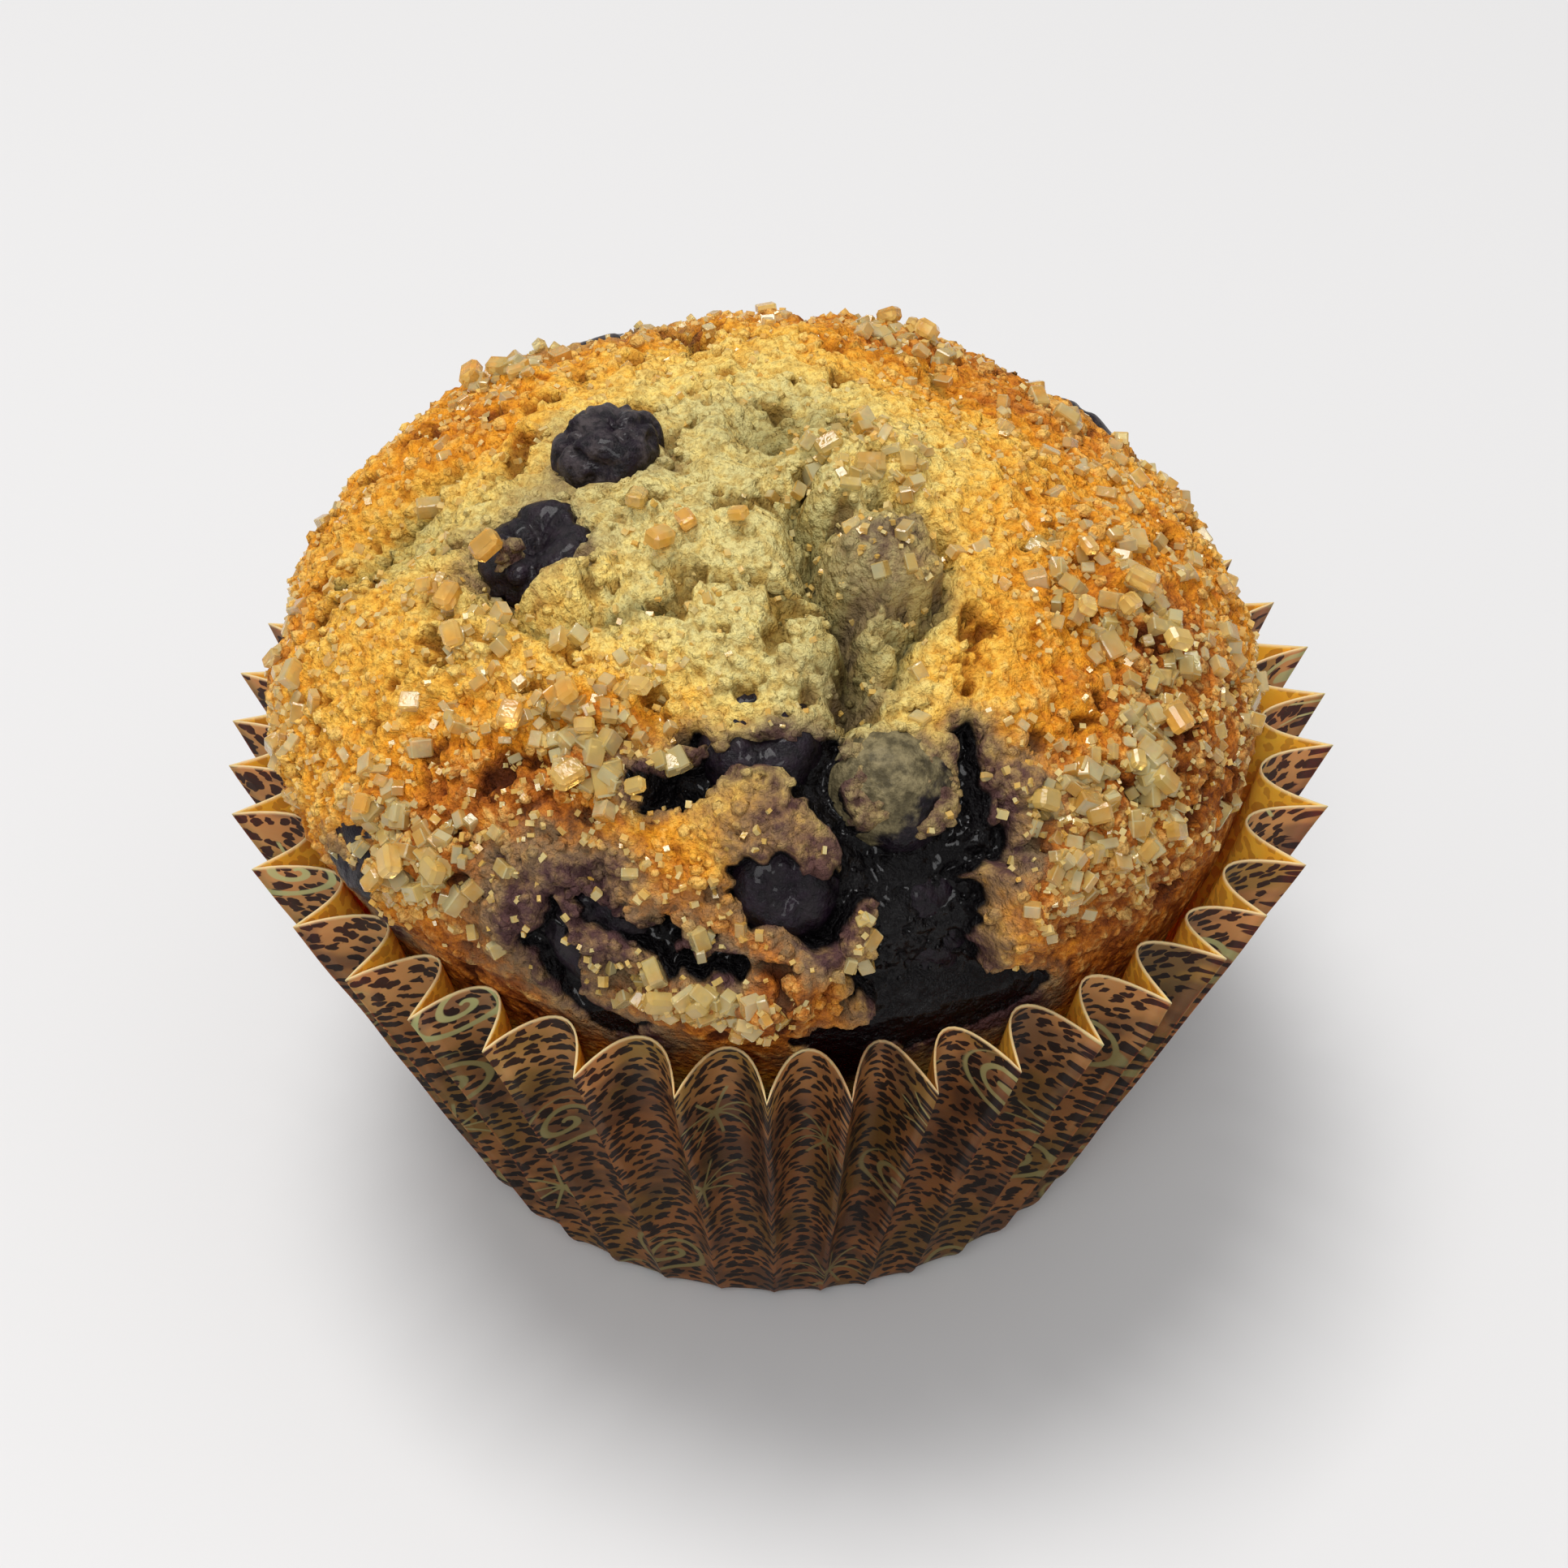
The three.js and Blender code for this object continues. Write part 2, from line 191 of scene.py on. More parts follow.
# Lobes, lumps and pits: place, spread in mm, height in mm, and how steep the edge is. Here and in the
# lists below, a place is an azimuth and a tilt, or a berry with mm across and down from it.
LUMPS = [
    ((218, 55), 16.0, 0.8, 8),  # left lobe
    ((335, 52), 17.0, 0.9, 6),  # right lobe
    ((262, 24), 8.0, 1.3, 4),  # ridge beside the crack
    ((335, 12), 4.6, 2.0, 4),  # crown knob
    ((303, 25), 3.8, 2.6, 6),  # grey lump
    (("middle", 1, 4.5), 4.0, 1.7, 4),  # island of crumb in the juice
    (("island", -4, 7.5), 4.5, 1.2, 4),  # front lump
    (("veiled", -0.5, -2), 3.4, 0.8, 4),  # batter over the veiled berry
    (("veiled", 9, 5), 5.5, 0.8, 4),  # right bank of the pool
    ((80, 50), 15.0, 0.9, 6),  # back lobes
    ((140, 50), 13.0, 0.9, 6),
    ((185, 46), 4.6, -1.9, 4),  # left notch
    (("burst", 0.5, 0), 4.2, -3.6, 6),  # burst pit
    (("burst", 5.5, -1), 2.4, 1.6, 4),  # torn flap beside it
    (("crown", 0, 0), 3.6, -0.8, 4),
    ((60, 4), 3.2, -2.0, 4),  # crown hollow
    (("back_left", 0, 0), 4.2, -0.9, 4),
    (("back_right", 0, 0), 4.0, -0.9, 4),
]

# The tongue of crumb that hangs into the pool, and the wedge that reaches in from the right.
TONGUES = [
    ([("island", 5, 1), ("island", 2.8, 4.2), ("island", -2, 7)], 1.3, 1.5),
    ([("veiled", 9, 7), ("veiled", 5, 9)], 1.5, 1.4),
    ([("veiled", 5.5, 9), ("veiled", 6, 14)], 1.1, 1.2),
]

# Cracks: path, width and depth in mm.
CRACKS = [
    ([(300, 10), (284, 20), (287, 30), ("middle", 6, -3)], 1.25, 3.8),
    ([(320, 18), (324, 26), (306, 34), (292, 38)], 0.8, 2.4),
    ([("crown", 7, 4), ("burst", 8, 3), ("middle", -7, -10)], 0.6, 0.9),
    ([(172, 40), (181, 48), (188, 58)], 0.9, 1.3),
    ([("middle", -14, -2), ("middle", -9, -1), ("middle", -5, 2)], 0.5, 0.7),
    ([("veiled", 7, 1), ("veiled", 6, 6), ("pool", 4, -6)], 0.5, 1.1),
    ([(335, 33), (342, 36)], 0.5, 1.0),
    ([(105, 30), (104, 50), (108, 72)], 0.8, 1.3),
    ([(30, 28), (50, 33), (66, 30)], 0.6, 0.9),
]

# Pooled juice: path and half width in mm.
JUICE = [
    ([("middle", -7, 2), ("middle", -3, 0), ("middle", 4, -1)], 1.2),
    ([("middle", 4, -1), ("middle", 5, 4), ("veiled", -3, 6), ("pool", -4, -5)], 1.1),
    ([("veiled", 4.5, -3), ("veiled", 5.5, 1), ("veiled", 5.5, 5)], 0.9),
    ([("veiled", -4, 2), ("veiled", 0, 4), ("veiled", 4.5, 2.5)], 2.2),
    ([("veiled", -1, 6), ("veiled", 0.8, 12), ("veiled", 0.5, 18)], 3.0),
    ([("pool", -2, -4), ("pool", -1, 1), ("pool", 0, 5)], 3.0),
    ([("pool", -8, 6), ("pool", 5, 5)], 2.2),
    ([("pool", -4.5, 0), ("pool", -5, 5)], 1.6),
    ([("island", 0, -1), ("island", 3, 1)], 2.8),
    ([("burst", 1.5, 0.5), ("burst", 2, 1)], 1.2),
    ([("front_left", -1, -3), ("front_left", 5, -2), ("island", -4, 4)], 0.8),
    ([("front_left", -3, 0), ("front_left", 0, 4), ("front_left", 3, 6)], 1.6),
    ([("rim_left", 0, 2), ("rim_left", 2, 4)], 1.6),
    ([("back_left", 0, 0), ("back_left", 1, 1)], 3.4),
    ([("back_right", 0, 0), ("back_right", 1, 1)], 3.0),
]

# Crust stained by the berries: place, spread in mm and strength.
STAINS = [
    (("crown", 0, 0), 4.8, 0.6), (("burst", 0, 0), 5.0, 0.95), (("burst", 5, -0.5), 2.2, 0.15),
    (("veiled", 0, 0), 5.0, 0.95), (("veiled", 8, 1), 3.2, 0.5), (("middle", 1, 4), 4.5, 0.6),
    (("front_left", 0, -3), 5.5, 0.8), (("front_left", -4, -2), 4.5, 0.7),
    (("rim_left", 0, 0), 4.0, 0.6), (("back_left", 0, 0), 7.0, 0.7), (("back_right", 0, 0), 6.5, 0.7),
    ((303, 25), 4.0, 0.75), (("middle", 5, -5), 3.5, 0.35),
]

# Where the oven browned the crust more or less: place, spread in mm and change.
BROWNING = [
    ((340, 62), 14, 0.24), ((318, 76), 12, 0.30), (("veiled", 10, 9), 5, 0.3), (("island", -2, 6), 5, 0.3),
    ((335, 86), 13, 0.25), ((240, 66), 8, 0.30), ((195, 78), 10, 0.22), ((350, 34), 9, 0.04),
    ((5, 27), 7, -0.16), ((160, 42), 9, 0.20), ((90, 40), 16, 0.26),
    ((60, 80), 22, 0.28), ((140, 80), 18, 0.26), ((30, 45), 14, 0.22), (("middle", 1, 5), 2.2, 0.35),
    (("island", 2, 3), 2.6, 0.30), (("middle", -10, -2), 3.5, 0.28), ((218, 48), 9, -0.08),
    ((280, 9), 11, -0.42), ((100, 14), 11, -0.42), ((270, 26), 9, -0.38),
    ((252, 78), 10, 0.36), ((228, 74), 9, 0.26), (("veiled", 13, 8), 7, 0.22), (("island", -4, 8), 5, 0.30),
    ((320, 14), 4, 0.2), ((200, 22), 9, -0.24), ((185, 46), 5, -0.36),
    (("middle", 5, -5), 6, -0.22), (("veiled", 0, -1), 6, -0.15),
]

# Painted shade in hollows: a dark olive multiplied into the crust's colour where shade falls; place, spread in
# mm and strength.
PAINTED_SHADE_HOLLOWS = [((60, 4), 3.6, 0.6), ((185, 46), 4.5, 0.35), (("middle", 6, -7), 2.6, 0.45), ((300, 18), 2.6, 0.3)]

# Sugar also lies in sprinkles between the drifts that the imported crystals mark: place, spread in mm
# and thickness. Where the crust is bare of drifts: place, spread in mm and how bare.
SPRINKLES = [
    ((340, 74), 8.0, 0.35), ((345, 42), 9.0, 0.25), ((200, 76), 5.5, 0.4), ((225, 56), 13.0, 0.2),
    ((80, 65), 20.0, 0.22), ((15, 55), 14.0, 0.22), (("island", -3, 5), 3.5, 0.3), ((335, 12), 4.0, 1.3),
    ((303, 25), 3.2, 0.8), (("middle", -3, -10), 3.5, 0.4),
]
BARE = [((285, 12), 12.0, 0.9), ((275, 28), 8.0, 0.75), ((185, 24), 8.0, 0.85), (("veiled", 0, 0), 4.5, 1.0),
        (("burst", 0, 0), 5.0, 1.0), (("crown", 0, 0), 4.8, 1.0)]
DRIFT_SPREAD = 2.6  # mm round each packed crystal


def gather(points, places):
    """Sum of fading patches, each a place, spread and strength."""
    return sum(strength * patch(points, step, spread) for step, spread, strength in places)


def stray(points, offsets):
    """Points of the dome moved by offsets and put back on it, so that outlines wander along the surface."""
    return dome(*reach_of(points + offsets))[0]


SHORE = 0.35  # half the width of the eased edge of a pool, in mm


def pooled(points):
    """1 in the pooled juice and 0 outside it, with a short eased shore."""
    wet = np.zeros(len(points))
    for path, width in JUICE:
        wet = np.maximum(wet, ramp(path_distance(points, path), width + SHORE, width - SHORE))
    return wet


# How outlines wander, in mm: the size of the wandering and of the fraying on it, then how far each
# moves the outline of a lump or crack, and of a pool.
WANDER_SIZE, FRAY_SIZE = 3.4, 0.9
WANDER, FRAY = 1.5, 0.4
POOL_WANDER, POOL_FRAY = 2.0, 0.7

# Heights in mm, with the size in mm of what they are the height of.
GROUND = -0.5  # the crust between its lobes
TONGUE_EDGE = (0.6, -0.5)  # where a tongue's edge starts and ends, past its width
CRACK_SHARPNESS = 1.4
POOL_DEPTH = 2.1
SWELL_SIZE, SWELL = 7.0, 0.8
BILLOW_SIZE, BILLOW, BILLOW_LEVEL, BILLOW_LOST_WHEN_WET = 4.2, 1.0, 0.3, 0.2
PEBBLE_SIZE, PEBBLE, PEBBLE_VARIETY, PEBBLE_LEVEL = 1.6, 0.28, 0.3, 0.6
CRUMB_SIZE, CRUMB, CRUMB_LEVEL = 0.8, 0.5, 0.55
GRIT_SIZE, GRIT = 0.5, 0.26
PORE_SIZE, PORE_DEPTH, PORE_EDGE = 2.0, 1.0, (0.26, 0.5)
FINE_PORE_SIZE, FINE_PORE_DEPTH, FINE_PORE_EDGE = 1.0, 0.4, (0.25, 0.55)
GRAIN_LOST_WHEN_WET = 0.45


def crust_height(points):
    """Height of the crust over the plain dome in mm, with the fields that its looks read.

    Lobes and lumps add up; cracks, pits and pools cut in; then come soft swellings, billows that meet
    in creases, pebbly crumb in two sizes, grit, and ragged pores where layered noise runs high. Outlines
    are made ragged by looking each one up at a place that noise has moved along the dome. The fine part
    alone, from the pebbles on, is returned as the grain of the crust.
    """
    shift = np.stack([layered(points, WANDER_SIZE, 11 * k, 3) for k in (1, 2, 3)], -1)
    fray = np.stack([noise(points, FRAY_SIZE, 17 + k) for k in range(3)], -1)
    ragged = stray(points, WANDER * shift + FRAY * fray)
    height = sum(high * patch(ragged, step, spread, edge) for step, spread, high, edge in LUMPS) + GROUND
    wet = pooled(stray(points, POOL_WANDER * shift + POOL_FRAY * fray))
    for path, width, high in TONGUES:
        tongue = ramp(path_distance(ragged, path), width + TONGUE_EDGE[0], width + TONGUE_EDGE[1])
        height += high * tongue
        wet *= 1 - tongue
    crack = np.zeros(len(points))
    for path, width, depth in CRACKS:
        cut = np.exp(-((path_distance(ragged, path) / width) ** CRACK_SHARPNESS))
        height -= depth * cut
        crack = np.maximum(crack, cut)
    height -= POOL_DEPTH * wet
    height += SWELL * layered(points, SWELL_SIZE, 5, 2)
    billow = np.abs(layered(points + 0.8 * shift, BILLOW_SIZE, 61, 2)) - BILLOW_LEVEL
    height += BILLOW * billow * (1 - BILLOW_LOST_WHEN_WET * wet)
    near, own = pebbles(points + 0.5 * shift, PEBBLE_SIZE, 21)
    fine = pebbles(points + 0.3 * shift, CRUMB_SIZE, 31)[0]
    pore = ramp(layered(points + 0.4 * shift, PORE_SIZE, 51, 3), *PORE_EDGE)
    grain = (PEBBLE + PEBBLE_VARIETY * own) * (PEBBLE_LEVEL - near) + CRUMB * (CRUMB_LEVEL - fine)
    grain += GRIT * noise(points, GRIT_SIZE, 41)
    fine_pore = ramp(layered(points, FINE_PORE_SIZE, 55, 2), *FINE_PORE_EDGE)
    grain -= PORE_DEPTH * pore + FINE_PORE_DEPTH * fine_pore
    return height + (1 - GRAIN_LOST_WHEN_WET * wet) * grain, wet, crack, pore, grain


SETTLED, SETTLING = 0.25, (34.5, 38.8)  # relief kept where the crumb meets the cup, and heights it fades over


def settle(points):
    """How much of the relief is kept: all of it on the dome, and little where the crumb meets the cup."""
    return SETTLED + (1 - SETTLED) * ramp(points[:, 2], *SETTLING)


SEATS, _, SEAT_HEIGHTS = seats_of(crystal_nodes)
SEAT_SPREAD = 1.1
SEAT_GAP = 0.45  # from a crystal's middle down to the crust that is drawn up under it
SEAT_DROP = 0.4  # and the furthest that the crust is let down to meet one


def crust_surface(points, normals):
    """Points of the finished crust over plain dome points, with the fields that its looks read."""
    height, wet, crack, pore, grain = crust_height(points)
    height = height * settle(points)
    base = crust_height(SEATS)[0]
    for seat, top, ground in zip(SEATS, SEAT_HEIGHTS, base):
        fade = np.exp(-((np.linalg.norm(points - seat, axis=-1) / SEAT_SPREAD) ** 2))
        height += max(top - SEAT_GAP - ground, -SEAT_DROP) * fade
    return points + height[:, None] * normals, wet, crack, pore, grain


# ---------------------------------------------------------------- meshes


def make_piece(name, points, faces, material, smooth=True, **fields):
    """A mesh object at the origin from points in mm and arrays of faces.

    Each named field holds one value for each point, or else one for each face.
    """
    mesh = bpy.data.meshes.new(name)
    corners = np.concatenate([part.ravel() for part in faces]).astype(np.int32)
    sizes = np.concatenate([np.full(len(part), part.shape[1]) for part in faces])
    mesh.vertices.add(len(points))
    mesh.vertices.foreach_set("co", (points * MM).astype(np.float32).ravel())
    mesh.loops.add(len(corners))
    mesh.loops.foreach_set("vertex_index", corners)
    mesh.polygons.add(len(sizes))
    starts = np.concatenate([[0], np.cumsum(sizes)[:-1]]).astype(np.int32)
    mesh.polygons.foreach_set("loop_start", starts)
    mesh.polygons.foreach_set("use_smooth", np.full(len(sizes), smooth))
    for field, values in fields.items():
        kind = "FLOAT" if values.ndim == 1 else "FLOAT_VECTOR"
        layer = mesh.attributes.new(field, kind, "POINT" if len(values) == len(points) else "FACE")
        layer.data.foreach_set("value" if values.ndim == 1 else "vector", values.astype(np.float32).ravel())
    mesh.update(calc_edges=True)
    mesh.validate()
    mesh.materials.append(material)
    piece = bpy.data.objects.new(name, mesh)
    bpy.context.scene.collection.objects.link(piece)
    return piece


def quads(rows, columns, closed):
    """Faces of a grid of rows and columns of points, numbered along the columns; closed joins the last
    column to the first. They face the side from which columns run left to right and rows run upwards."""
    row = np.arange(rows - 1)[:, None] * columns
    column = np.arange(columns if closed else columns - 1)[None, :]
    following = (column + 1) % columns
    corners = [row + column, row + following, row + columns + following, row + columns + column]
    return np.stack([np.broadcast_to(c, (rows - 1, column.size)) for c in corners], -1).reshape(-1, 4)


def fan(ring, tip):
    """Triangles from a closed ring of points to one tip."""
    return np.stack([ring, np.roll(ring, -1), np.full(len(ring), tip)], -1)


# ---------------------------------------------------------------- material recipes


class Value:
    """A node's output that can be used in sums. Each operator adds the Math node that works it out."""

    def __init__(self, recipe, socket):
        self.recipe, self.socket = recipe, socket

    def math(self, operation, *others, swap=False):
        terms = [*others, self] if swap else [self, *others]
        return self.recipe.node("ShaderNodeMath", {"operation": operation}, dict(enumerate(terms)))

    def __add__(self, other): return self.math("ADD", other)
    def __radd__(self, other): return self.math("ADD", other)
    def __sub__(self, other): return self.math("SUBTRACT", other)
    def __rsub__(self, other): return self.math("SUBTRACT", other, swap=True)
    def __mul__(self, other): return self.math("MULTIPLY", other)
    def __rmul__(self, other): return self.math("MULTIPLY", other)
    def __truediv__(self, other): return self.math("DIVIDE", other)
    def __pow__(self, other): return self.math("POWER", other)
    def __abs__(self): return self.math("ABSOLUTE")

    def slope(self, low, high):
        """0 at low, 1 at high, eased between them."""
        return self.recipe.node(
            "ShaderNodeMapRange", {"interpolation_type": "SMOOTHSTEP"}, {0: self, 1: low, 2: high}
        )


class Recipe:
    """A material under construction, and the one way to add a node to it."""

    def __init__(self, name):
        self.material = bpy.data.materials.new(name)
        self.material.use_nodes = True
        self.tree = self.material.node_tree
        self.tree.nodes.clear()
        self.shader = self.tree.nodes.new("ShaderNodeBsdfPrincipled")
        output = self.tree.nodes.new("ShaderNodeOutputMaterial")
        self.tree.links.new(self.shader.outputs[0], output.inputs[0])

    def node(self, kind, settings=None, sockets=None, out=0):
        """Adds a node of that type: its settings first, then the values or links of its sockets."""
        added = self.tree.nodes.new(kind)
        for key, value in (settings or {}).items():
            if key == "stops":
                self._stops(added.color_ramp, value)
            else:
                setattr(added, key, value)
        for key, value in (sockets or {}).items():
            self.put(added.inputs[key], value)
        return Value(self, added.outputs[out])

    def _stops(self, ramp_data, stops):
        while len(ramp_data.elements) < len(stops):
            ramp_data.elements.new(1)
        for element, (position, color) in zip(ramp_data.elements, stops):
            element.position = position
            element.color = (*color, 1)

    def put(self, socket, value):
        if isinstance(value, Value):
            self.tree.links.new(value.socket, socket)
        elif isinstance(value, tuple) and len(value) == 3 and socket.type == "RGBA":
            socket.default_value = (*value, 1)
        else:
            socket.default_value = value

    def set(self, **sockets):
        """Puts values or links on the shader's own sockets, named with _ for a space."""
        for key, value in sockets.items():
            self.put(self.shader.inputs[key.replace("_", " ")], value)
        return self.material

    def field(self, name, out="Fac"):
        return self.node("ShaderNodeAttribute", {"attribute_name": name}, out=out)

    def place_mm(self):
        here = self.node("ShaderNodeTexCoord", out="Object")
        return self.node("ShaderNodeVectorMath", {"operation": "SCALE"}, {0: here, "Scale": 1 / MM})

    def noise(self, where, size, detail=3, rough=0.55):
        """Noise about 0.5, for a place in mm and a size in mm."""
        sockets = {"Vector": where, "Scale": 1 / size, "Detail": detail, "Roughness": rough}
        return self.node("ShaderNodeTexNoise", None, sockets)

    def mix(self, share, first, second, blend="MIX"):
        settings = {"data_type": "RGBA", "blend_type": blend}
        return self.node("ShaderNodeMix", settings, {0: share, 6: first, 7: second}, out=2)

    def colors(self, value, *stops):
        return self.node("ShaderNodeValToRGB", {"stops": stops}, {0: value})

    def bump(self, height, distance, strength=1.0):
        return self.node(
            "ShaderNodeBump", None, {"Height": height, "Distance": distance * MM, "Strength": strength}
        )


GRANULE_SIZE = 0.75  # the small beads that crumb is made of


def crust_finish():
    """Baked crust: pale to deep orange as it browns, with painted shade in its pits, cracks and hollows and a
    painted highlight on its crests, stained and blackened by juice.
    """
    r = Recipe("baked_crust")
    here = r.place_mm()
    coarse = r.noise(here, 1.0, 4, 0.65)
    grit = r.noise(here, 0.30, 3, 0.6)
    cloud = r.noise(here, 4.5, 3)
    granule = r.node("ShaderNodeTexVoronoi", None, {"Vector": here, "Scale": 1 / GRANULE_SIZE})
    wet, stain, grain = r.field("wet"), r.field("stain"), r.field("grain")
    browned = r.field("brown") + (coarse - 0.5) * 0.6 + (cloud - 0.5) * 0.3 - grain * 0.12
    baked = r.colors(
        browned,
        (0.0, (0.74, 0.64, 0.27)),
        (0.22, (0.94, 0.70, 0.20)),
        (0.45, (0.98, 0.55, 0.080)),
        (0.66, (0.86, 0.34, 0.018)),
        (0.85, (0.60, 0.19, 0.018)),
        (1.0, (0.26, 0.065, 0.008)),
    )
    # Painted highlight: crests of the fine relief are lightened towards pale gold, standing in for light
    # catching them.
    crest_highlight = (grain + (grit - 0.5) * 0.6).slope(0.05, 0.55)
    raised = r.mix(crest_highlight * 0.45, baked, (1.0, 0.76, 0.27))
    # Painted shade: pits of the fine relief, low specks of grit and the gaps between granules are darkened,
    # standing in for shade in them.
    pit = (grain + (grit - 0.5) * 0.5).slope(0.0, -0.55)
    pit_shaded = r.mix(pit * 0.62, raised, (0.52, 0.35, 0.14), "MULTIPLY")
    grit_shaded = r.mix(grit.slope(0.50, 0.36) * 0.42, pit_shaded, (0.50, 0.36, 0.15), "MULTIPLY")
    granule_shaded = r.mix(granule.slope(0.45, 0.75) * 0.5, grit_shaded, (0.62, 0.46, 0.22), "MULTIPLY")
    # Painted shade: the hollow field darkens cracks, pores and listed hollows to a dark olive, standing in for
    # shade in them.
    shaded = r.mix(r.field("hollow") * 0.95, granule_shaded, (0.10, 0.095, 0.030), "MULTIPLY")
    tinted = stain + (coarse - 0.5) * stain * 1.5 - grain * stain * 0.25
    greyed = r.mix(tinted.slope(0.05, 0.7) * 0.8, shaded, (0.26, 0.19, 0.10))
    purple = r.mix(tinted.slope(0.5, 1.0) * 0.85, greyed, (0.060, 0.020, 0.034))
    black = r.mix(wet.slope(0.2, 0.55), purple, (0.0028, 0.0020, 0.0026))
    dull = 0.66 - 0.26 * r.noise(here, 1.7, 2).slope(0.55, 0.72)
    rough = r.node("ShaderNodeMix", {"data_type": "FLOAT"}, {0: wet.slope(0.3, 0.6), 2: dull, 3: 0.3})
    return r.set(
        Base_Color=black,
        Roughness=rough,
        Coat_Weight=wet.slope(0.4, 0.8) * 0.24,
        Coat_Roughness=0.1,
        Specular_IOR_Level=0.15,
        Normal=r.bump(grit + coarse * 1.3 - granule * 0.9, 0.42, 1.0),
    )


def sugar_finish(name, clear, honey, through):
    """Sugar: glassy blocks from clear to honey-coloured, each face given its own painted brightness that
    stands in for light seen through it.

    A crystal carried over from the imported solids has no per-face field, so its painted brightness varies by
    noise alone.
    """
    r = Recipe(name)
    here = r.place_mm()
    # Painted light: each face's own brightness, from honey to clear, stands in for light seen through the
    # crystal.
    through_light = r.field("facet") + (r.noise(here, 1.3, 3) - 0.5) * 1.6
    tint = r.mix(r.noise(here, 3.0, 2).slope(0.40, 0.62), honey, (0.96, 0.56, 0.11))
    return r.set(
        Base_Color=r.mix(through_light.slope(-0.1, 1.1), tint, clear),
        Roughness=0.04 + 0.16 * r.noise(here, 0.5, 2).slope(0.4, 0.7),
        Normal=r.bump(r.noise(here, 0.45, 2), 0.06, 0.6),
        Transmission_Weight=through,
        IOR=1.5,
    )


def berry_finish():
    """Baked blueberry skin: blue-black and wrinkled, dusty with bloom in places, or veiled in batter."""
    r = Recipe("baked_berry")
    here = r.place_mm()
    fold = r.noise(here, 0.9, 5, 0.65)
    dust = r.noise(here, 1.5, 4, 0.7).slope(0.44, 0.66)
    skin = r.mix(fold.slope(0.3, 0.8), (0.0028, 0.0022, 0.0034), (0.015, 0.007, 0.015))
    dusty = r.mix(dust * r.field("bloom"), skin, (0.10, 0.080, 0.082))
    batter = r.mix(fold.slope(0.35, 0.7), (0.070, 0.056, 0.028), (0.24, 0.195, 0.10))
    veil = (r.field("veil") + (fold - 0.5) * 0.7).slope(0.3, 0.75)
    return r.set(
        Base_Color=r.mix(veil, dusty, batter),
        Roughness=0.30 + dust * 0.3 + veil * 0.2,
        Coat_Weight=0.15 - veil * 0.13,
        Coat_Roughness=0.1,
        Specular_IOR_Level=0.15,
        Normal=r.bump(fold + r.noise(here, 0.3, 3) * 0.5, 0.34, 0.9),
    )


FLAT_CELLS = {"voronoi_dimensions": "2D"}


def paper_finish():
    """Printed baking paper: flecks, blotches and pale sprigs outside, soaked amber inside, cream edge."""
    r = Recipe("printed_baking_paper")
    flat = r.field("flat", "Vector")
    here = r.place_mm()
    height = r.node("ShaderNodeSeparateXYZ", None, {0: here}, out=2)
    waver = r.node("ShaderNodeTexNoise", None, {"Vector": flat, "Scale": 1.1, "Detail": 2.0}, out="Color")
    drawn = r.node("ShaderNodeVectorMath", {"operation": "ADD"}, {0: flat, 1: waver})
    slim = r.node("ShaderNodeMapping", None, {"Vector": drawn, "Scale": (0.78, 1.30, 1.0)})
    cell = {"Vector": slim, "Scale": 1.0, "Randomness": 0.85}
    dot = r.node("ShaderNodeTexVoronoi", FLAT_CELLS, cell)
    swell = r.noise(flat, 5.0, 2)
    fleck = (dot - (swell - 0.5) * 0.3).slope(0.41, 0.35)
    blotch = r.noise(flat, 8.0, 3, 0.6).slope(0.48, 0.58)
    ground = r.mix(r.noise(flat, 3.0, 3), (0.42, 0.185, 0.060), (0.68, 0.36, 0.13))
    moss = r.mix(r.noise(flat, 11.0, 2).slope(0.50, 0.60) * 0.6, ground, (0.24, 0.19, 0.035))
    blotted = r.mix(blotch * 0.55, moss, (0.050, 0.042, 0.042))
    flecked = r.mix(fleck * 0.95, blotted, (0.012, 0.010, 0.011))
    outside = r.mix(sprigs(r, flat) * 0.95, flecked, (0.50, 0.50, 0.22))
    damp = (height + r.noise(here, 6.0, 2) * 9.0).slope(40.0, 31.0)
    soaked = r.mix(damp * 0.8, outside, (0.30, 0.20, 0.13), "MULTIPLY")
    greasy = r.mix(r.field("front") * 0.6, soaked, (0.50, 0.36, 0.28), "MULTIPLY")
    warm = r.mix(r.noise(flat, 2.0, 4, 0.65), (0.92, 0.42, 0.030), (1.0, 0.66, 0.085))
    inside = r.mix(fleck * 0.4, warm, (0.085, 0.040, 0.014))
    juicy = r.mix(r.field("juicy"), inside, (0.11, 0.018, 0.008))
    faced = r.mix(r.field("side").slope(0.55, 0.8), greasy, juicy)
    edge = r.mix(r.field("edge") * (1 - 0.6 * r.field("juicy")), faced, (0.72, 0.52, 0.27))
    return r.set(
        Base_Color=edge,
        Roughness=0.5 + 0.2 * r.noise(flat, 1.5, 3),
        Coat_Weight=0.1 * damp,
        Coat_Roughness=0.35,
        Specular_IOR_Level=0.1,
        Subsurface_Weight=0.3,
        Subsurface_Scale=0.0012,
        Normal=r.bump(r.noise(flat, 0.8, 4, 0.7), 0.07, 0.6),
    )


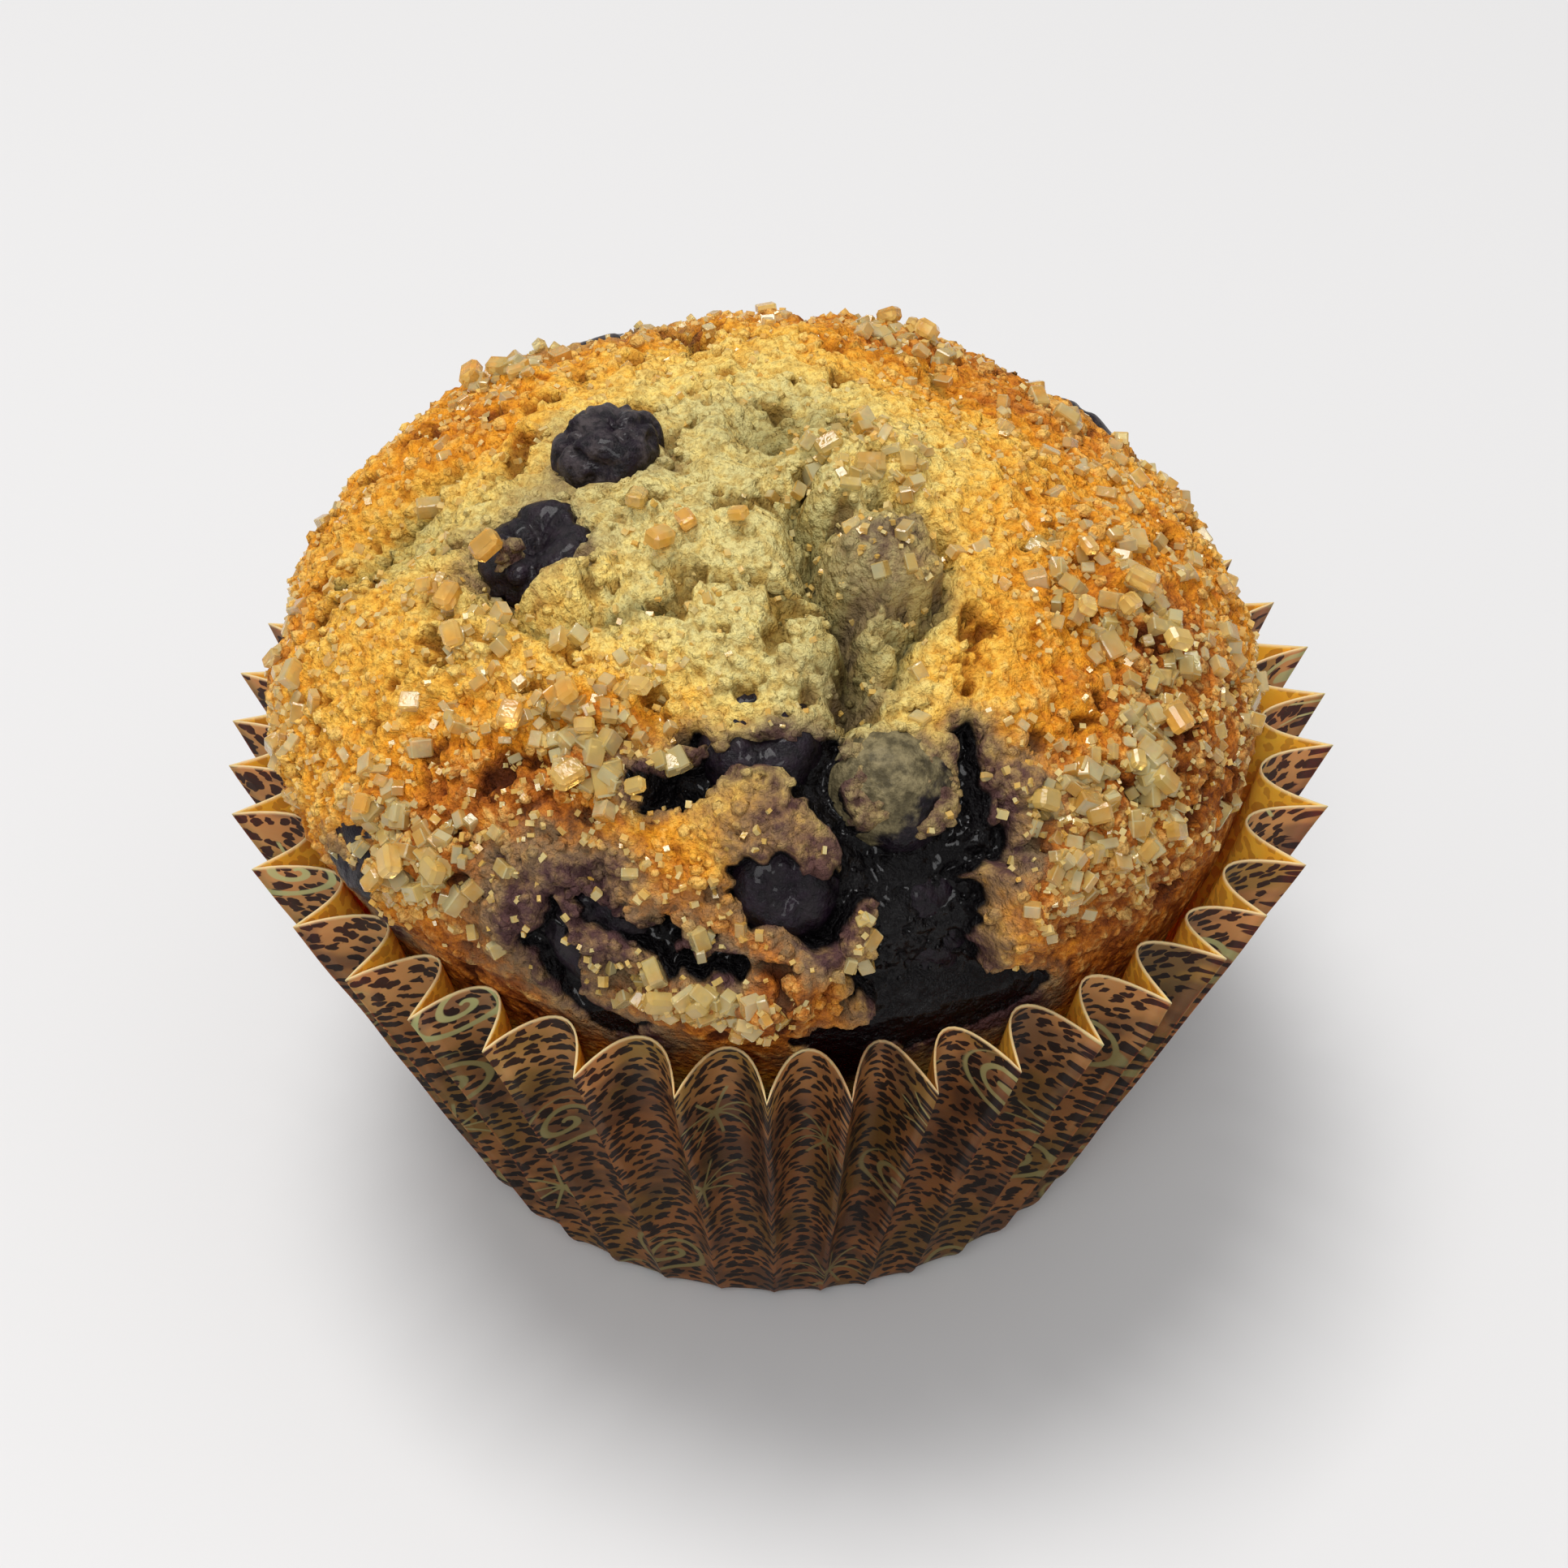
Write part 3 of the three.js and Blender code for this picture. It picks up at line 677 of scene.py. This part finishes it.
def sprigs(r, flat):
    """Generic ornament scattered one to a patch of paper: a burst of fine rays or a simple spiral."""
    patch_size = 11.0
    cell = {"Vector": flat, "Scale": 1 / patch_size, "Randomness": 0.5}
    middle = r.node("ShaderNodeTexVoronoi", FLAT_CELLS, cell, out="Position")
    number = r.node("ShaderNodeTexVoronoi", FLAT_CELLS, cell, out="Color")
    away = r.node("ShaderNodeVectorMath", {"operation": "SUBTRACT"}, {0: flat, 1: middle})
    across = r.node("ShaderNodeSeparateXYZ", None, {0: away}, out=0)
    up = r.node("ShaderNodeSeparateXYZ", None, {0: away}, out=1)
    pick = r.node("ShaderNodeSeparateColor", None, {0: number}, out=0)
    radius = (across * across + up * up) ** 0.5
    angle = up.math("ARCTAN2", across)
    ray = abs((angle * 4.5).math("SINE")) * radius
    burst = ray.slope(0.6, 0.3) * radius.slope(3.4, 3.0)
    turn = abs((radius / 1.5 - angle / (2 * math.pi)).math("FRACT") - 0.5)
    curl = turn.slope(0.20, 0.12) * radius.slope(3.3, 3.0)
    return burst * pick.slope(0.55, 0.56) + curl * pick.slope(0.45, 0.44)


# ---------------------------------------------------------------- the crust

GRID = 304  # squares along one side of the crust's mesh


def disc_grid(count):
    """Azimuth and reach of a square grid folded into a disc: each square outline becomes a ring.

    On the grid's wider side the coordinate is the ring's radius, and the ratio of the two coordinates
    is an eighth of a turn at each corner.
    """
    line = np.linspace(-1, 1, count + 1)
    x, y = [side.ravel() for side in np.meshgrid(line, line, indexing="ij")]
    wide = np.abs(x) > np.abs(y)
    radius = np.where(wide, x, y)
    safe = np.where(radius == 0, 1, radius)
    angle = np.where(wide, y / safe * math.pi / 4, math.pi / 2 - x / safe * math.pi / 4)
    across, up = radius * np.cos(angle), radius * np.sin(angle)
    return np.arctan2(up, across), np.abs(radius)


def outline_of(count):
    """Numbers of the grid's outer points, in order round it, anticlockwise."""
    numbers = np.arange((count + 1) ** 2).reshape(count + 1, count + 1)
    return np.concatenate([numbers[:-1, 0], numbers[-1, :-1], numbers[:0:-1, -1], numbers[0, :0:-1]])


STAIN_BEYOND = 1.3  # mm past the shore of a pool
EVEN_BROWNING, RIM_BROWNING, RIM_BROWNING_HEIGHTS = 0.42, 0.42, (42.0, 35.0)


def crust_fields(base, wet, crack, pore, grain):
    """What the crust's finish reads at dome points: juice, stain, browning, the painted shade of hollows and
    cracks, and grain.
    """
    stain = np.clip(gather(base, STAINS), 0, 1)
    for path, width in JUICE:
        stain = np.maximum(stain, np.exp(-((path_distance(base, path) / (width + STAIN_BEYOND)) ** 2)))
    stain = np.clip(stain + 0.35 * layered(base, 2.5, 71) * (stain > 0.1), 0, 1)
    brown = EVEN_BROWNING + gather(base, BROWNING) + 0.16 * layered(base, 5.0, 61) - 0.16 * crack
    brown += RIM_BROWNING * ramp(base[:, 2], *RIM_BROWNING_HEIGHTS)
    # Painted shade: cracks, pores and the listed hollows, for the finish to darken where shade falls in them.
    hollow = np.clip(0.85 * crack**1.5 + 0.65 * pore + gather(base, PAINTED_SHADE_HOLLOWS), 0, 1)
    return dict(wet=wet, stain=stain, brown=np.clip(brown, 0.02, 0.93), hollow=hollow, grain=grain)


CRUMBS = 3200
CRUMB_SMALLEST, CRUMB_GROWTH = 0.25, 0.55  # radius of the smallest, and how much larger the largest is
CRUMB_SUNK = 0.12
PAST_RING = 1.02  # crumbs and sugar lie this far from crown to ring, measured by height


def lump_shape():
    """Twelve points of a regular icosahedron of radius 1, and its 20 faces."""
    golden = (1 + 5**0.5) / 2
    flat = np.array([[0, a, b * golden] for a in (-1, 1) for b in (-1, 1)])
    points = unit(np.concatenate([np.roll(flat, turn, axis=1) for turn in range(3)]).astype(float))
    side = np.linalg.norm(points[:, None] - points[None], axis=-1)
    joined = (side > 0.1) & (side < 1.1)
    faces = [(i, j, k) for i in range(12) for j in range(i) for k in range(j)
             if joined[i, j] and joined[j, k] and joined[i, k]]
    turned = [f if np.linalg.det(points[list(f)]) > 0 else f[::-1] for f in faces]
    return points, np.array(turned)


def even_places(count, generator):
    """Points of the dome and their normals, spread evenly at random."""
    azimuth = generator.uniform(0, 2 * math.pi, count)
    reach = np.arccos(1 - generator.uniform(0, PAST_RING, count)) / (math.pi / 2)
    return dome(azimuth, reach)


def make_crumbs(material):
    """Loose-edged crumbs half sunk in the crust: icosahedra with every corner pushed in or out."""
    generator = np.random.default_rng(5)
    base, normals = even_places(CRUMBS, generator)
    ground, wet, crack, pore, grain = crust_surface(base, normals)
    corners, faces = lump_shape()
    size = (CRUMB_SMALLEST + CRUMB_GROWTH * generator.beta(1.5, 3.5, CRUMBS)) * (1 - 0.4 * wet)
    bumpy = generator.uniform(0.65, 1.3, (CRUMBS, 12, 1)) * corners
    turning = rotations(normals, 0.6, generator)
    points = np.einsum("nci,nij->ncj", bumpy * size[:, None, None], turning)
    points = points * (1, 1, 0.8) + (ground - normals * CRUMB_SUNK)[:, None]
    spread = (faces[None] + 12 * np.arange(CRUMBS)[:, None, None]).reshape(-1, 3)
    fields = crust_fields(base, wet, crack, pore, grain)
    # Crumbs count as raised grain, so the painted crest highlight lightens them and the painted pit shade
    # spares them.
    raised = np.clip(fields.pop("grain") + 0.25, -0.2, 0.6)
    fields = {name: np.repeat(values, 12) for name, values in fields.items()}
    return make_piece("crust_crumbs", points.reshape(-1, 3), [spread], material,
                      grain=np.repeat(raised, 12), **fields)


# Rings of the plain plug of crumb inside the cup: radius and height.
PLUG = [(30.2, 26), (24.9, 3.8), (21.2, 0.7)]


def make_crust(material):
    """The whole crumb: the finely meshed dome, then plain rings down inside the cup and a flat underside."""
    azimuth, reach = disc_grid(GRID)
    base, normals = dome(azimuth, reach * (1 + TUCK))
    points, wet, crack, pore, grain = crust_surface(base, normals)
    rim = outline_of(GRID)
    rings = []
    for radius, height in PLUG:
        around = np.stack([np.cos(azimuth[rim]), np.sin(azimuth[rim]), np.zeros(len(rim))], -1)
        rings.append(radius * around + (0, 0, height))
    low = np.array([[0, 0, PLUG[-1][1]]])
    start = len(points)
    all_points = np.concatenate([points, *rings, low])
    numbers = np.concatenate([rim, start + np.arange(len(rim) * len(PLUG))])
    wall = numbers[quads(len(PLUG) + 1, len(rim), True)][:, ::-1]
    underside = fan(numbers[-len(rim):][::-1], len(all_points) - 1)
    top = quads(GRID + 1, GRID + 1, False)[:, ::-1]
    plain = np.zeros(len(all_points) - start)
    full = lambda values: np.concatenate([values, plain])
    fields = {name: full(values) for name, values in crust_fields(base, wet, crack, pore, grain).items()}
    return make_piece("sugared_crumb", all_points, [top, wall, underside], material, **fields)


# ---------------------------------------------------------------- berries

BERRY_ROWS, BERRY_COLUMNS = 40, 64
BERRY_HEIGHT = 0.86  # against its width
DIMPLE_REACH = 0.55  # radians from the crown
WRINKLE_SIZE, WRINKLE = 2.6, 0.09
VEIL_SIDE = (-0.75, 0.25, 0.6)  # the side of a berry that batter covers

# How each berry is shown: depth of its collapsed crown, bloom on its skin and batter over it, its size
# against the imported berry, and where it differs from the rest, mm it is lifted and depth of its wrinkles.
BERRY_LOOKS = {
    "crown": dict(dimple=0.25, bloom=0.55, veil=0.0, swell=1.0, lift=0.6, wrinkled=0.2),
    "burst": dict(dimple=0.8, bloom=0.15, veil=0.0, swell=1.1, lift=-0.4, wrinkled=0.2),
    "middle": dict(dimple=0.5, bloom=0.1, veil=0.0, swell=0.9),
    "island": dict(dimple=0.3, bloom=0.1, veil=0.0, swell=1.0),
    "veiled": dict(dimple=0.0, bloom=0.2, veil=1.0, swell=0.98),
    "pool": dict(dimple=0.35, bloom=0.1, veil=0.0, swell=1.0),
    "front_left": dict(dimple=0.3, bloom=0.2, veil=0.0, swell=1.0),
    "rim_left": dict(dimple=0.3, bloom=0.3, veil=0.0, swell=1.0),
    "back_left": dict(dimple=0.35, bloom=0.8, veil=0.0, swell=1.06),
    "back_right": dict(dimple=0.35, bloom=0.6, veil=0.0, swell=1.06),
}


def make_berry(name, look, material):
    """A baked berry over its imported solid: a ball 0.86 as tall as it is wide, its crown fallen in.

    The radius is 1 less a dimple exp(-(angle from the crown / 0.55) ** 2), and shallow wrinkles run
    where layered noise crosses zero.
    """
    low, high = [np.array(corner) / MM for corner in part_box(name)]
    middle = (low + high) / 2
    radius = (high - low).max() / 2 * look["swell"]
    _, axis = dome(*reach_of(middle[None]))
    axis = axis[0]
    east = unit(np.cross([0.0, 0.0, 1.0], axis) + 1e-9)
    north = np.cross(axis, east)
    down = np.linspace(0, math.pi, BERRY_ROWS + 1)[1:-1, None]
    turn = np.linspace(0, 2 * math.pi, BERRY_COLUMNS, endpoint=False)[None, :]
    grid = np.broadcast_arrays(
        np.sin(down) * np.cos(turn), np.sin(down) * np.sin(turn), BERRY_HEIGHT * np.cos(down))
    ball = np.stack(grid, -1).reshape(-1, 3)
    ball = np.concatenate([[[0, 0, BERRY_HEIGHT]], ball, [[0, 0, -BERRY_HEIGHT]]])
    angle = np.arccos(np.clip(ball[:, 2] / BERRY_HEIGHT, -1, 1))
    around = ball * radius + middle
    wrinkle = 1 - np.abs(layered(around, WRINKLE_SIZE, 81, 3)) * 2.2
    size = 1 - look["dimple"] * np.exp(-((angle / DIMPLE_REACH) ** 2)) + 0.05 * noise(around, 2.2, 91)
    size -= look.get("wrinkled", WRINKLE) * np.clip(wrinkle, 0, 1) ** 2 * (1 - look["veil"] * 0.8)
    middle = middle + look.get("lift", 0) * axis
    points = (ball * size[:, None] * radius) @ np.stack([east, north, axis]) + middle
    body = 1 + quads(BERRY_ROWS - 1, BERRY_COLUMNS, True)[:, ::-1]
    first = 1 + np.arange(BERRY_COLUMNS)
    last = len(points) - 1 - BERRY_COLUMNS + np.arange(BERRY_COLUMNS)
    caps = np.concatenate([fan(first, 0), fan(last[::-1], len(points) - 1)])
    covered = unit(points - middle) @ unit(np.array(VEIL_SIDE))
    veil = look["veil"] * ramp(covered + 0.5 * layered(points, 1.6, 95), -0.75, 0.05)
    bloom = np.full(len(points), look["bloom"])
    piece = make_piece("baked_" + name, points, [body, caps], material, veil=veil, bloom=bloom)
    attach(piece, "root")
    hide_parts(name)


# ---------------------------------------------------------------- the paper cup

CUP_HEIGHT, CUP_FLAT, CUP_FOOT, CUP_FOOT_HEIGHT = 35.0, 22.5, 25.2, 2.6
RIM_RADIUS, RIM_FOLD, FOOT_FOLD = 36.6, 2.45, 0.45
FLUTES, FLUTE_STEPS = 42, 16
FLUTE_START = math.radians(-84)
FOLD_SHARPNESS, FOLD_OVERHANG = 0.9, 0.045
PAPER = 0.13
FOLD_VARIETY = ((0.08, 5, 1), (0.05, 13, 0))  # share, waves round the cup and phase by which folds differ
WANDERING = ((0.02, 3, 0.6), (0.012, 8, 2))  # radians, waves and phase by which they wander round the cup
FLUTTER_SIZE, FLUTTER = 5.0, 0.09  # mm, and share of a fold
FRONT_AZIMUTH, FRONT_WIDTH = -84, 17  # degrees: where juice has soaked the paper


def cup_profile():
    """Radius, height and fold reach down the cup's middle surface, from near the axis out to the rim.

    A flat disc, then a foot that is a curve with one control point where the wall's line meets the
    table, then the straight flaring wall.
    """
    disc = np.linspace(2, CUP_FLAT, 6)
    slope = (RIM_RADIUS - CUP_FOOT) / (CUP_HEIGHT - CUP_FOOT_HEIGHT)
    corner = CUP_FOOT - slope * CUP_FOOT_HEIGHT
    t = np.linspace(0, 1, 7)[1:]
    foot_radius = (1 - t) ** 2 * CUP_FLAT + 2 * t * (1 - t) * corner + t * t * CUP_FOOT
    share = np.append(np.linspace(0, 1, 25)[1:-1], (0.992, 1))
    radius = np.concatenate([disc, foot_radius, CUP_FOOT + share * (RIM_RADIUS - CUP_FOOT)])
    wall = CUP_FOOT_HEIGHT + share * (CUP_HEIGHT - CUP_FOOT_HEIGHT)
    height = np.concatenate([0 * disc, t * t * CUP_FOOT_HEIGHT, wall])
    fold = np.concatenate([0 * disc, FOOT_FOLD * t * t, FOOT_FOLD + share * (RIM_FOLD - FOOT_FOLD)])
    return radius, height + PAPER / 2, fold


def make_cup(material):
    """The cup as one closed sheet: a middle surface of 42 folds, moved half the paper's thickness each way.

    Round a ring the radius is its middle plus its fold reach times 1 - 2 |sin| ** 0.9, sharp outside
    and round inside. The folds wander a little, as real ones do.
    """
    radius, height, fold = [part[:, None] for part in cup_profile()]
    turn = np.arange(FLUTES * FLUTE_STEPS) / FLUTE_STEPS
    even = FLUTE_START + 2 * math.pi * (turn - FOLD_OVERHANG * np.sin(2 * math.pi * turn)) / FLUTES
    shape = 1 - 2 * np.abs(np.sin(math.pi * turn)) ** FOLD_SHARPNESS
    wave = lambda part: part[0] * np.sin(part[1] * even + part[2])
    reach = 1 + wave(FOLD_VARIETY[0]) + wave(FOLD_VARIETY[1])
    angle = even + wave(WANDERING[0]) + wave(WANDERING[1])
    rings = radius + fold * shape * reach
    middle = np.stack(np.broadcast_arrays(rings * np.cos(angle), rings * np.sin(angle), height), -1)
    places = middle.reshape(-1, 3)
    flutter = np.stack([noise(places, FLUTTER_SIZE, 100 + k).reshape(rings.shape) for k in range(3)], -1)
    middle += flutter * (FLUTTER * fold)[..., None] * np.array([1, 1, 0.6])
    around = np.roll(middle, -1, 1) - np.roll(middle, 1, 1)
    upward = np.gradient(middle, axis=0)
    outward = unit(np.cross(around, upward))
    outward[:6] = (0, 0, -1)
    rows, columns = rings.shape
    outer = middle + outward * PAPER / 2
    inner = (middle - outward * PAPER / 2)[::-1]
    sheet = np.concatenate([outer, inner]).reshape(-1, 3)
    poles = np.array([[0, 0, 0], [0, 0, PAPER]])
    points = np.concatenate([sheet, poles])
    skin = quads(2 * rows, columns, True)
    tip = len(sheet)
    caps = [fan(np.arange(columns)[::-1], tip), fan(tip - columns + np.arange(columns), tip + 1)]
    steps = np.linalg.norm(around, axis=-1)
    swept = np.cumsum(steps, 1) / steps.sum(1, keepdims=True) * 2 * math.pi + FLUTE_START
    out = np.concatenate([[2], np.hypot(np.diff(radius[:, 0]), np.diff(height[:, 0]))]).cumsum()[:, None]
    flat = np.stack([out * np.cos(swept), out * np.sin(swept), 0 * swept], -1)
    twice = lambda part: np.concatenate([part, part[::-1]]).reshape(-1, *part.shape[2:])
    both = lambda part, ends: np.concatenate([twice(part), ends])
    side = np.repeat([0.0, 1.0], rows * columns)
    edge = np.zeros((rows, columns))
    edge[-1] = 1
    azimuth = np.degrees(np.arctan2(middle[..., 1], middle[..., 0]))
    front = np.exp(-((azimuth - FRONT_AZIMUTH) / FRONT_WIDTH) ** 2)
    juicy = front * ramp(layered(middle.reshape(-1, 3), 6.0, 111).reshape(rings.shape), -0.5, 0.1)
    return make_piece(
        "fluted_paper_cup", points, [skin, *caps], material,
        flat=both(flat, np.zeros((2, 3))), side=np.concatenate([side, [0, 1]]),
        edge=both(edge, [0, 0]), juicy=both(juicy, [0, 0]), front=both(front**0.3, [0, 0]),
    )


# ---------------------------------------------------------------- sugar


def block_shape(cut):
    """A block with its edges and corners cut off: 24 points for half sizes of 1, and its 26 faces."""
    signs = np.array(list(np.ndindex(2, 2, 2))) * 2 - 1
    points = np.array([[s * (1 if axis == k else 1 - cut) for k, s in enumerate(sign)]
                       for sign in signs for axis in range(3)])
    number = lambda sign, axis: 3 * int(sum((s > 0) * w for s, w in zip(sign, (4, 2, 1)))) + axis
    faces = []
    for axis in range(3):
        one, two = [k for k in range(3) if k != axis]
        for side in (-1, 1):
            ring = []
            for a, b in ((-1, -1), (1, -1), (1, 1), (-1, 1)):
                sign = [0, 0, 0]
                sign[axis], sign[one], sign[two] = side, a, b
                ring.append(number(sign, axis))
            faces.append(ring)
        for a, b in np.ndindex(2, 2):
            ends = []
            for side in (-1, 1):
                sign = [0, 0, 0]
                sign[axis], sign[one], sign[two] = side, 2 * a - 1, 2 * b - 1
                ends.append((number(sign, one), number(sign, two)))
            faces.append([ends[0][0], ends[0][1], ends[1][1], ends[1][0]])
    faces += [[number(sign, axis) for axis in range(3)] for sign in signs]
    turned = []
    for face in faces:
        corner = points[face]
        normal = np.cross(corner[1] - corner[0], corner[2] - corner[1])
        turned.append(face if normal @ corner.mean(0) > 0 else face[::-1])
    return points, [np.array([f for f in turned if len(f) == n]) for n in (4, 3)]


def box_shape():
    """A plain block: 8 points for half sizes of 1, and its 6 faces."""
    points = np.array(list(np.ndindex(2, 2, 2))) * 2.0 - 1
    faces = [[0, 1, 3, 2], [4, 6, 7, 5], [0, 4, 5, 1], [2, 3, 7, 6], [0, 2, 6, 4], [1, 5, 7, 3]]
    return points, [np.array(faces)]


def rotations(axes, lean, generator):
    """Turning matrices, one for each axis: a random spin about it, then a random lean in radians."""
    count = len(axes)
    helper = np.where(np.abs(axes[:, 2:]) > 0.9, [[1.0, 0, 0]], [[0, 0, 1.0]])
    east = unit(np.cross(helper, axes))
    north = np.cross(axes, east)
    spin = generator.uniform(0, 2 * math.pi, count)[:, None]
    first = east * np.cos(spin) + north * np.sin(spin)
    tipped = unit(axes + generator.normal(0, lean, (count, 3)))
    first = unit(first - np.sum(first * tipped, -1, keepdims=True) * tipped)
    return np.stack([first, np.cross(tipped, first), tipped], 1)


THINNEST, DRIFT_THICKNESS, PATCHES = 0.06, 0.8, 0.2  # sugar everywhere, in drifts and in loose patches
SHORTEST, LONGEST = [0.85, 0.65, 0.5], [1.35, 1.0, 0.9]  # a grain's sides against its size


def scatter_sugar(name, count, shape, small, large, lean, power, seed, material):
    """Grains lying on the crust, thickest in the drifts and none in the pools.

    Candidate places are even over the dome. Each is kept with a chance equal to how thickly sugar
    lies there, to the given power, until there are enough.
    """
    generator = np.random.default_rng(seed)
    tries = 60 * count
    base, normals = even_places(tries, generator)
    drift = sum(np.exp(-((np.linalg.norm(base - seat, axis=-1) / DRIFT_SPREAD) ** 2)) for seat in SEATS)
    thick = THINNEST + np.clip(DRIFT_THICKNESS * drift, 0, 1)
    thick += PATCHES * ramp(layered(base, 6.0, 121), 0.0, 0.5)
    thick *= 1 - np.clip(gather(base, BARE), 0, 1)
    thick += gather(base, SPRINKLES)
    kept = np.flatnonzero(generator.uniform(0, 1.1, tries) < np.clip(thick, 0, 1.2) ** power)
    base, normals = base[kept], normals[kept]
    ground, wet = crust_surface(base, normals)[:2]
    dry = np.flatnonzero(wet < 0.3)[:count]
    ground, normals = ground[dry], normals[dry]
    total = len(dry)
    size = small + (large - small) * generator.beta(1.6, 3.2, total)[:, None]
    half = size / 2 * generator.uniform(SHORTEST, LONGEST, (total, 3))
    middles = ground + normals * (half[:, 2:] * generator.uniform(-0.2, 0.6, (total, 1)))
    corners, faces = shape
    turning = rotations(normals, lean, generator)
    points = np.einsum("nci,nij->ncj", corners[None] * half[:, None], turning) + middles[:, None]
    offset = (np.arange(total) * len(corners))[:, None, None]
    spread = [(part[None] + offset).reshape(-1, part.shape[1]) for part in faces]
    # Painted light: a random brightness for each face, standing in for light seen through the crystal.
    facet = generator.uniform(0, 1, sum(len(part) for part in spread)) ** 1.5
    piece = make_piece(name, points.reshape(-1, 3), spread, material, smooth=False, facet=facet)
    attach(piece, "root")


# ---------------------------------------------------------------- the object

crust_material = crust_finish()
sugar_material = sugar_finish("coarse_sugar", (1.0, 0.92, 0.52), (1.0, 0.74, 0.24), 0.66)
grain_material = sugar_finish("fine_sugar", (1.0, 0.84, 0.38), (1.0, 0.66, 0.17), 0.5)
berry_material = berry_finish()
paper_material = paper_finish()

crumb = make_crust(crust_material)
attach(crumb, "root")
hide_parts("muffin_crumb")

crumbs = make_crumbs(crust_material)
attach(crumbs, "root")

cup = make_cup(paper_material)
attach(cup, "root")
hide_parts("paper_cup")

for short_name, berry_look in BERRY_LOOKS.items():
    make_berry("blueberry_" + short_name, berry_look, berry_material)

for crystal in crystal_nodes:
    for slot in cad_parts[crystal].material_slots:
        slot.material = sugar_material

scatter_sugar("coarse_sugar_drifts", 760, block_shape(0.16), 0.65, 1.7, 0.6, 1.7, 7, sugar_material)
scatter_sugar("fine_sugar_grains", 3800, box_shape(), 0.25, 0.65, 0.8, 0.8, 8, grain_material)

# ---------------------------------------------------------------- floor, light and camera


def make_floor():
    """A pale floor a few metres across."""
    half = 2000.0
    corners = np.array([[-half, -half, 0], [half, -half, 0], [half, half, 0], [-half, half, 0]])
    r = Recipe("pale_floor")
    material = r.set(Base_Color=(0.65, 0.65, 0.657), Roughness=0.6)
    make_piece("floor", corners - (0, 0, 0.02), [np.array([[0, 1, 2, 3]])], material, smooth=False)


def add_light(name, place_m, size, energy, color=(1, 1, 1)):
    """A square soft light that faces the muffin."""
    data = bpy.data.lights.new(name, "AREA")
    data.size, data.energy, data.color = size, energy, color
    lamp = bpy.data.objects.new(name, data)
    lamp.location = place_m
    lamp.rotation_euler = (Vector((0, 0, 0.03)) - Vector(place_m)).to_track_quat("-Z", "Y").to_euler()
    bpy.context.scene.collection.objects.link(lamp)


def add_camera():
    """Looks along +Y from 39.7 degrees above the horizon, 220 mm from the middle of the muffin."""
    elevation, distance = math.radians(39.7), 220.0
    aim = Vector((0.34, 0, 28.25))
    data = bpy.data.cameras.new("camera")
    data.lens, data.sensor_width = 69.56, 36.0
    camera = bpy.data.objects.new("camera", data)
    camera.location = (aim + Vector((0, -math.cos(elevation), math.sin(elevation))) * distance) * MM
    camera.rotation_euler = (math.pi / 2 - elevation, 0, 0)
    bpy.context.scene.collection.objects.link(camera)
    bpy.context.scene.camera = camera


make_floor()
add_camera()
add_light("overhead", (-0.25, 0.2, 1.4), 0.6, 14.0, (1.0, 0.985, 0.965))
add_light("front_fill", (-0.1, -1.0, 1.1), 0.6, 8.2, (1.0, 1.0, 1.0))

world = bpy.data.worlds.new("studio")
world.use_nodes = True
world.node_tree.nodes["Background"].inputs["Color"].default_value = (1.0, 0.99, 0.985, 1)
world.node_tree.nodes["Background"].inputs["Strength"].default_value = 0.46
bpy.context.scene.world = world
bpy.context.scene.view_settings.view_transform = "Standard"
